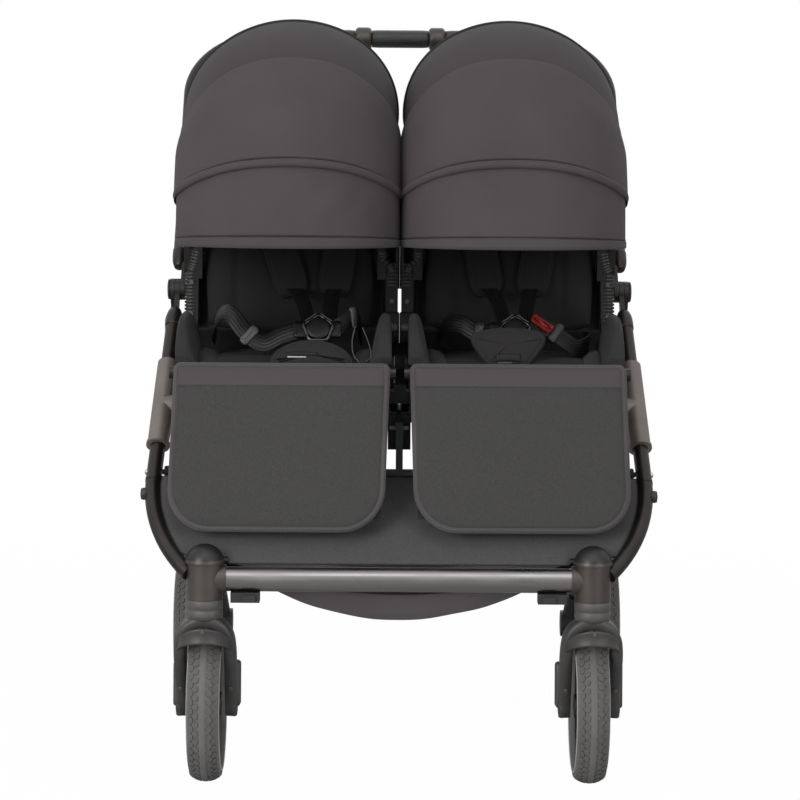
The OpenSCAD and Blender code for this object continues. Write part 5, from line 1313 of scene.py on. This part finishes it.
def makeWaist(label):
    for k, (route, spot) in enumerate(strapRoutes[label]):
        name = "%sWaistStrap%s" % (label, "AB"[k])
        path = smoothPath(route, 8)
        strap = sweep(name, path, bandShape(0.025, 0.0016), "blackWebbing", sideways=[(0.12, 0.35, 1.0)] * len(path))
        finishOff(strap, "chassis", "webbing")
        at = int(spot * (len(path) - 1))
        along = (path[at + 1] - path[at - 1]).normalized()
        up = Vector((0.12, 0.35, 1.0))
        up = (up - along * up.dot(along)).normalized()
        place = Matrix.Translation(path[at]) @ Matrix((along, up, along.cross(up))).transposed().to_4x4()
        levels = [(0.0014, -0.0034), (0.0, -0.0022), (0.0, 0.0022), (0.0014, 0.0034), (0.0060, 0.0036), (0.0066, 0.0030)]
        clip = plate(name + "Clip", blockShape(0.0135, 0.031, 0.005, 6), levels, place,
                     "greyPlastic" if label == "left" else "blackPlastic")
        finishOff(clip, "chassis", "gloss_plastic")
        end = path[-1]
        place = Matrix.Translation(end) @ buckleFrame(label).to_3x3().to_4x4()
        tongue = plate(name + "Tongue", blockShape(0.022, 0.026, 0.006, 6),
                       [(0.0012, -0.0030), (0.0, -0.0018), (0.0, 0.0018), (0.0012, 0.0030), (0.006, 0.0034)], place, "facePlastic")
        finishOff(tongue, "chassis", "gloss_plastic")
    if label == "left":
        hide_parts("waist_straps")
    if label == "right":
        place = Matrix.Translation((0.2030, -0.1740, 0.6370)) @ Matrix.Rotation(math.radians(70), 4,
                                                                                "X") @ Matrix.Rotation(math.radians(-37), 4, "Z")
        tab = plate("rightStrapTab", blockShape(0.034, 0.0125, 0.0022, 6),
                    [(0.001, -0.0022), (0.0, -0.0012), (0.0, 0.0014), (0.0012, 0.0024), (0.004, 0.0026)], place, "redPlastic")
        finishOff(tab, "chassis", "gloss_plastic")
    else:
        for k, route in zip("AB",
                            ([(-0.0638, -0.186, 0.6327), (-0.0680, -0.194, 0.6120), (-0.0660, -0.199, 0.5930), (-0.0584, -0.203, 0.5840)],
                                   [(-0.0537, -0.186, 0.6310), (-0.0440, -0.194, 0.6080), (-0.0415, -0.199, 0.5910),
                                    (-0.0483, -0.203, 0.5840)])):
            path = smoothPath(route, 8)
            pull = sweep("leftPullCord" + k, path, ringShape(0.0006, 8), "paleThread")
            finishOff(pull, "chassis", "webbing")


coverSettings = {"half": 0.150, "flatWidth": 0.30, "skirtHalf": 0.147, "skirtWidth": 0.294}


def makeSeatCovers(label, s):
    b, c = backSettings, coverSettings
    place = backFrame(s)
    rows = []
    for j in range(25):
        z = b["low"] + b["long"] * j / 24
        rows.append([place @ Vector((x * c["half"], 0.0100 + 0.004 * math.sin(math.pi * j / 24) * (1 - x * x), z))
                     for x in [-1 + i / 16 for i in range(33)]])
    cover = clothSheet(label + "BackCover", rows, 0.0024, "canopyCloth", flip=True)
    finishOff(cover, label + "_backrest", "lining")
    rows = []
    for j in range(13):  # skirt that closes the fold between the cushion and the back
        f = j / 12
        top = place @ Vector((0, -0.020, b["low"] + 0.006))
        spot = Vector((0, 0.006, 0.566)).lerp(Vector((0, top.y, top.z)), f) + Vector((0, 0.010 * math.sin(math.pi * f), 0))
        rows.append([Vector((s * seatX + x * c["skirtHalf"], spot.y, spot.z)) for x in [-1 + i / 12 for i in range(25)]])
    skirt = clothSheet(label + "SeatSkirt", rows, 0.002, "liningCloth")
    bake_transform(skirt)


for label, s in sides:
    makeBuckle(label)
    makeWaist(label)
    makeSeatCovers(label, s)
print("buckles, waist straps and seat covers ready")


# arms, hubs and hinges

armSettings = {"low": (0.0085, 0.619), "knee": (0.028, 0.697), "outer": 0.1462, "inner": 0.1531, "upper": 0.1376, "pitch": 0.0052}


def makeArms(label, s):
    c = armSettings
    low, knee = Vector((0, c["low"][0], c["low"][1])), Vector((0, c["knee"][0], c["knee"][1]))
    lean = (knee - low).normalized()
    front = Vector((0, -lean.z, lean.y))
    for k in (-1, 1):
        outer = k * s > 0
        end = "Out" if outer else "In"
        xi = c["outer"] if outer else c["inner"]
        x = s * seatX + k * xi
        first, last = (0.008, 0.076) if outer else (0.060, 0.076)
        n = int((last - first) / c["pitch"])
        points = [Vector((x, 0, 0)) + low + lean * (first + (last - first) * j / n) for j in range(n + 1)]
        ribs = growTree(label + "ArmRibs" + end, "rib", points, [lean] * len(points), [Vector((1, 0, 0))] * len(points), "blackPlastic",
                        Width=0.0222, Depth=0.0176, Height=0.0024)
        finishOff(ribs, label + "_backrest", "black_plastic")
        curve = smoothPath([(s * seatX + k * (xi - 0.0006), 0.0282, 0.7000), (s * seatX + k * (xi - 0.004), 0.0284, 0.7075),
                            (s * seatX + k * (c["upper"] + 0.002), 0.0286, 0.7170), (s * seatX + k * c["upper"], 0.0288, 0.7262)], 2)
        along = [(curve[min(j + 1, len(curve) - 1)] - curve[max(j - 1, 0)]).normalized() for j in range(len(curve))]
        across = [Vector((v.z, 0, -v.x)) for v in along]
        ribs = growTree(label + "ArmBend" + end, "rib", curve, along, across, "blackPlastic", Width=0.0190, Depth=0.0226, Height=0.0026)
        finishOff(ribs, label + "_backrest", "black_plastic")
        if not outer:  # narrow ribs that close the slot between the two canopies
            inner = s * 0.0042
            points = [Vector((inner, 0.0300, 0.6760 + 0.0052 * j)) for j in range(28)]
            ribs = growTree(label + "ArmTop", "rib", points, [Vector((0, 0, 1))] * 28, [Vector((1, 0, 0))] * 28, "shadowPlastic",
                            Width=0.0083, Depth=0.0150, Height=0.0054)
            finishOff(ribs, label + "_backrest", "black_plastic")
            place = Matrix.Translation((s * 0.0115, 0.004, 0.6070)) @ Matrix.Rotation(math.radians(90), 4, "X")
            foot = plate(label + "ArmFoot", blockShape(0.0228, 0.066, 0.003, 4),
                         [(0.001, -0.006), (0.0, -0.005), (0.0, 0.003), (0.001, 0.004)], place, "shadowPlastic")
            finishOff(foot, label + "_backrest", "black_plastic")
        place = Matrix.Translation((s * seatX + k * 0.1430, 0.0440, 0.7350)) @ Matrix.Rotation(math.radians(90), 4, "X")
        wing = plate(label + "SideWing" + end, blockShape(0.0340, 0.080, 0.002, 4),
                     [(0.0006, 0.0), (0.0, 0.0006), (0.0, 0.0018), (0.0006, 0.0024)], place, "liningCloth")
        finishOff(wing, label + "_backrest", "lining")
        spots = (0.012, 0.036) if not outer else (0.014, 0.062)
        screws = [Vector((x, 0, 0)) + low + lean * d + front * (0.0066 if not outer else 0.0090) for d in spots]
        rivets = growTree(label + "ArmRivets" + end, "screw", screws, [front] * 2, [Vector((1, 0, 0))] * 2, "greyPlastic",
                          Radius=0.0036, Height=0.0016)
        finishOff(rivets, label + "_backrest", "black_plastic")
        place = Matrix.Translation((x, low.y - 0.004, low.z - 0.003)) @ Matrix.Rotation(math.radians(76), 4, "X")
        cap = plate(label + "ArmCap" + end, blockShape(0.0184, 0.012, 0.0045, 6),
                    [(0.0012, 0.002), (0.0, 0.003), (0.0, 0.0062), (0.0014, 0.0078), (0.0045, 0.0084)], place, "greyPlastic")
        finishOff(cap, label + "_backrest", "black_plastic")
        if outer:
            hub = lathe(label + "HubCap",
                        [(0.0, 0.0), (0.0, 0.0392), (k * 0.0006, 0.0396), (k * 0.0013, 0.0380), (k * 0.0016, 0.0345),
                         (k * 0.0012, 0.0325), (k * 0.0012, 0.0175), (k * 0.0018, 0.0150), (k * 0.0020, 0.0)],
                        (s * seatX + k * 0.1571, hubPoint.y, hubPoint.z), "blackPlastic", 56)
            finishOff(hub, "chassis", "black_plastic")


def makeMiddle():  # cover of the cross tube between the seats, with two small pale pads under it that are painted highlights
    cover = lathe("crossCover",
                  [(-0.0145, 0.0122), (-0.0145, 0.0158), (-0.0135, 0.0168), (0.0135, 0.0168), (0.0145, 0.0158), (0.0145, 0.0122),
                   (-0.0145, 0.0122)],
                  (0, -0.126, 0.510), "glossPlastic", 48)
    finishOff(cover, "chassis", "black_plastic")
    for label, s in sides:
        # pale plates that stand for the two highlights under the cross tube: painted highlight
        place = Matrix.Translation((s * 0.0086, -0.1362, 0.4820)) @ Matrix.Rotation(math.radians(90), 4, "X")
        pad = plate(label + "CrossHighlightPad", blockShape(0.0100, 0.0055, 0.0015, 4),
                    [(0.0, -0.002), (0.0, 0.0030), (0.0008, 0.0038), (0.002, 0.0040)], place, "paleStripe")
        finishOff(pad, "chassis", "black_plastic")


sleeveSettings = {  # slope in the side plane, shift across and tube radius of the members that meet at the fold hinge
    "FrontLeg": (225.0, 0.0, 0.0110, "chassis"), "PushTube": (49.0, 0.0, 0.0100, "handle"),
    "RearLeg": (-66.07, 0.0105, 0.0100, "rear_frame")}


def makeSleeves(label, s):
    for name, (slope, shift, r, body) in sleeveSettings.items():
        way = Vector((0, math.cos(math.radians(slope)), math.sin(math.radians(slope))))
        start = Vector((s * (pushX + shift), hingePoint.y, hingePoint.z))
        splay = Vector((s * 0.0416, 0, 0)) if name == "FrontLeg" else Vector((0, 0, 0))
        path = [start + (way + splay) * d for d in (0.041, 0.0415, 0.044, 0.048, 0.053, 0.060, 0.070, 0.0745, 0.0750)]
        sizes = [0.0060, 0.0072, 0.0084, 0.0098, 0.0108, 0.0113, 0.0114, 0.0111, 0.0104]
        shapes = [ringShape(v + r - 0.0100, 24) for v in sizes]
        finishOff(sweep(label + name + "Sleeve", path, shapes, "framePaint"), body, "frame")


for label, s in sides:
    makeArms(label, s)
    makeSleeves(label, s)
    x = s * pushX
    cap = lathe(label + "HingeCap",
                [(s * 0.0115, 0.0), (s * 0.0115, 0.0148), (s * 0.0124, 0.0154), (s * 0.0142, 0.0146), (s * 0.0150, 0.0110),
                 (s * 0.0148, 0.0065), (s * 0.0154, 0.0058), (s * 0.0155, 0.0)],
                (x, hingePoint.y, hingePoint.z), "blackPlastic", 48)
    finishOff(cap, "chassis", "black_plastic")
    way = Vector((s * 0.0416, -math.sqrt(0.5), -math.sqrt(0.5)))
    spot = Vector((x, hingePoint.y, hingePoint.z)) + way * 0.3465 + Vector((s * 0.0105, 0, 0))
    rivet = growTree(label + "LegRivet", "screw", [spot], [Vector((s, 0, 0))], [Vector((0, 0, 1))], "bareSteel", Radius=0.0042,
                     Height=0.0030)
    finishOff(rivet, "chassis", "steel")
    knob = lathe(label + "LegKnob", [(0.0, 0.0), (0.0, 0.0080), (s * 0.0110, 0.0088), (s * 0.0145, 0.0078), (s * 0.0158, 0.0)],
                 (s * 0.3495, hingePoint.y - 0.2722, 0.3978), "blackPlastic", 28)
    finishOff(knob, "chassis", "black_plastic")
makeMiddle()
print("arms, hubs and hinges ready")


# handle

gripSettings = {"r": 0.0145, "middle": 0.0457, "from": 0.0723, "to": 0.207}


def makeGrips():
    g = gripSettings
    y, z = handlePoint.y, handlePoint.z
    first = None
    for name, x0, x1 in (("gripMiddle", -g["middle"], g["middle"]), ("gripLeft", -g["to"], -g["from"]), ("gripRight", g["from"], g["to"])):
        profile = [(x0, 0.0102)]
        for k in range(25):
            f = k / 24
            ease = min(1.0, f * 9, (1 - f) * 9)
            profile.append((x0 + (x1 - x0) * f, g["r"] - 0.0009 * (1 - math.sin(math.pi / 2 * ease)) - 0.0003))
        profile += [(x1, 0.0102), (x0, 0.0102)]
        grip = lathe(name, profile, (0, y, z), "gripLeather", 40)
        finishOff(grip, "handle", "grip")
        first = first or grip
        for side in (-1, 1):
            t = math.radians(-62 + side * 9)
            out = Vector((0, math.cos(t), math.sin(t)))
            path = [Vector((x0 + (x1 - x0) * (0.04 + 0.92 * k / 40), y, z)) + out * (g["r"] - 0.0003) for k in range(41)]
            finishOff(stitchLine("%sStitch%s" % (name, "A" if side < 0 else "B"), path, [out] * 41, "darkThread", 0.0046, 0.0034,
                                 0.0008), "handle", "grip")
    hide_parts("handle_grips")
    place = Matrix.Translation((0, y + 0.0090, z)) @ Matrix.Rotation(-math.pi / 2, 4, "X")
    track = plate("sliderTrack", blockShape(0.060, 0.0138, 0.003, 5),
                  [(0.0, 0.0), (0.0, 0.0054), (0.0008, 0.0062), (0.0025, 0.0064)], place, "blackPlastic")
    finishOff(track, "handle", "black_plastic")


makeGrips()
print("handle ready")


# forks

forkSettings = {
    "path": [(0.0345, 0.042, 0.108), (0.0345, 0.032, 0.136), (0.0348, 0.020, 0.166), (0.0345, 0.010, 0.192),
             (0.0318, 0.004, 0.2120), (0.0240, 0.001, 0.2262),
             (0.0120, 0.0, 0.2335), (0.0, 0.0, 0.2352)],
    "thick": 0.0165, "wideLow": 0.031, "wideHigh": 0.042, "fender": 0.038,
}


def makeFork(label, s):
    c = forkSettings
    base = Vector((s * stemPoint.x, stemPoint.y, 0))
    half = [Vector(p) for p in c["path"]]
    knots = [base + p for p in half] + [base + Vector((-p.x, p.y, p.z)) for p in half[-2::-1]]
    path = smoothPath(knots, 6)
    shapes, across = [], []
    for p in path:
        f = min(max((p.z - 0.108) / 0.115, 0.0), 1.0)
        shapes.append(blockShape(c["wideLow"] + (c["wideHigh"] - c["wideLow"]) * f, c["thick"], 0.0062, 4))
        across.append((0, 1, -0.28 * (1 - f)))
    arch = sweep(label + "Fork", path, shapes, "forkPlastic", sideways=across)
    finishOff(arch, label + "_caster", "black_plastic", label + "_fork")
    collar = lathe(label + "ForkCollar",
                   [(0.2350, 0.0), (0.2350, 0.0200), (0.2385, 0.0238), (0.2420, 0.0250), (0.2505, 0.0250), (0.2512, 0.0243),
                    (0.2522, 0.0243), (0.2529, 0.0250),
                                          (0.2648, 0.0250), (0.2656, 0.0242), (0.2656, 0.0)], (base.x, base.y, 0), "greyPlastic",
                                          56, axis="Z")
    finishOff(collar, label + "_caster", "black_plastic")
    rows = []
    for j in range(9):
        f = j / 8
        line = []
        for i in range(33):
            t = math.radians(-86 + 172 * i / 32)
            drop = 1 - math.cos(t)
            low, top = 0.2100 - 0.0150 * drop, 0.2305 - 0.0262 * drop
            r = c["fender"] - 0.0016 * math.sin(math.pi * f) + 0.0010 * (1 - f)
            line.append(base + Vector((r * math.sin(t), -0.008 - r * math.cos(t), low + (top - low) * f)))
        rows.append(line)
    finishOff(clothSheet(label + "Fender", rows, 0.0032, "forkPlastic"), label + "_caster", "black_plastic")
    screws = [base + Vector((0, -0.0462, 0.2262))]
    faces = [Vector((0, -1, 0))]
    for k in (-1, 1):
        cover = lathe("%sAxleCover%s" % (label, "A" if k < 0 else "B"),
                      [(-k * 0.0080, 0.0), (-k * 0.0080, 0.0165), (k * 0.0050, 0.0172), (k * 0.0078, 0.0160), (k * 0.0086, 0.0110),
                       (k * 0.0086, 0.0)],
                      base + Vector((k * 0.0345, 0.042, 0.108)), "forkPlastic", 40)
        finishOff(cover, label + "_caster", "black_plastic")
        place = Matrix.Translation(base + Vector((k * 0.0395, 0.0520, 0.1360))) @ Matrix.Rotation(math.radians(90), 4,
                "X") @ Matrix.Rotation(math.radians(-6), 4, "X")
        block = plate("%sDamper%s" % (label, "A" if k < 0 else "B"), blockShape(0.0150, 0.064, 0.0050, 6),
                      [(0.0014, -0.012), (0.0, -0.0105), (0.0, 0.0105), (0.0014, 0.012)], place, "forkPlastic")
        finishOff(block, label + "_caster", "black_plastic")
        screws += [base + Vector((k * 0.0432, 0.042, 0.108)), base + Vector((k * 0.0345, 0.0125, 0.1360))]
        faces += [Vector((k, 0, 0)), Vector((0, -0.95, -0.3))]
    bolts = growTree(label + "ForkBolts", "screw", screws, faces, [Vector((0, 0, 1))] * len(screws), "greyPlastic", Radius=0.0030,
                     Height=0.0016)
    finishOff(bolts, label + "_caster", "black_plastic")


for label, s in sides:
    makeFork(label, s)
print("forks ready")


# wheels

wheelSettings = {"front": {"r": 0.108, "w": 0.044, "depth": 0.022, "blocks": 54},
                 "rear": {"r": 0.118, "w": 0.046, "depth": 0.022, "blocks": 60}}


def tyreRadius(r, w, x):
    return r - 0.72 * w + math.sqrt((0.72 * w) ** 2 - x * x)


def makeTyre(name, centre, c, body, node):
    r, w, inner = c["r"], c["w"], c["r"] - c["depth"]
    tread = 0.0016
    profile = [(-w * 0.36, inner), (-w * 0.45, inner + 0.0012), (-w * 0.492, inner + 0.0045), (-w * 0.5, inner + 0.009)]
    for k in range(0, 25):
        x = -w * 0.485 + w * 0.97 * k / 24
        rib = tread if abs(x) < w * 0.115 else 0.0
        side = tread if abs(x) > w * 0.44 else 0.0
        profile.append((x, tyreRadius(r, w, x) - tread + max(rib, side) - 0.0002))
    profile += [(w * 0.5, inner + 0.009), (w * 0.492, inner + 0.0045), (w * 0.45, inner + 0.0012), (w * 0.36, inner), (-w * 0.36, inner)]
    tyre = lathe(name, profile, centre, "tyreRubber", 96)
    finishOff(tyre, body, "tyre", node)
    points, outward, along = [], [], []
    for row, x in enumerate((-0.36, -0.21, 0.21, 0.36)):
        for k in range(c["blocks"]):
            a = 2 * math.pi * (k + 0.5 * (row % 2)) / c["blocks"]
            slope = -(x * w) / math.sqrt((0.72 * w) ** 2 - (x * w) ** 2)
            rr = tyreRadius(r, w, x * w) - 0.0012
            points.append(Vector((centre[0] + x * w, centre[1] + rr * math.cos(a), centre[2] + rr * math.sin(a))))
            outward.append(Vector((-slope, math.cos(a), math.sin(a))).normalized())
            along.append(Vector((0, -math.sin(a), math.cos(a))))
    blocks = growTree(name + "Tread", "block", points, outward, along, "treadRubber", Size=0.0046, Height=0.0020, Long=1.12)
    finishOff(blocks, body, "tyre")
    for k in (-1, 1):
        ring = [Vector((centre[0] + k * (w * 0.497), centre[1] + (inner + 0.0062) * math.cos(2 * math.pi * j / 96),
                        centre[2] + (inner + 0.0062) * math.sin(2 * math.pi * j / 96))) for j in range(96)]
        stripe = sweep("%sStripe%s" % (name, "A" if k < 0 else "B"), ring, ringShape(0.0011, 8), "paleStripe", closed=True)
        finishOff(stripe, body, "tyre")


for label, s in sides:
    makeTyre(label + "FrontTyre", (s * frontAxle.x, frontAxle.y, frontAxle.z), wheelSettings["front"], label + "_front_wheel",
             label + "_front_tyre")
    makeTyre(label + "RearTyre", (s * rearAxle.x, rearAxle.y, rearAxle.z), wheelSettings["rear"], label + "_rear_wheel",
             label + "_rear_tyre")
print("wheels ready")
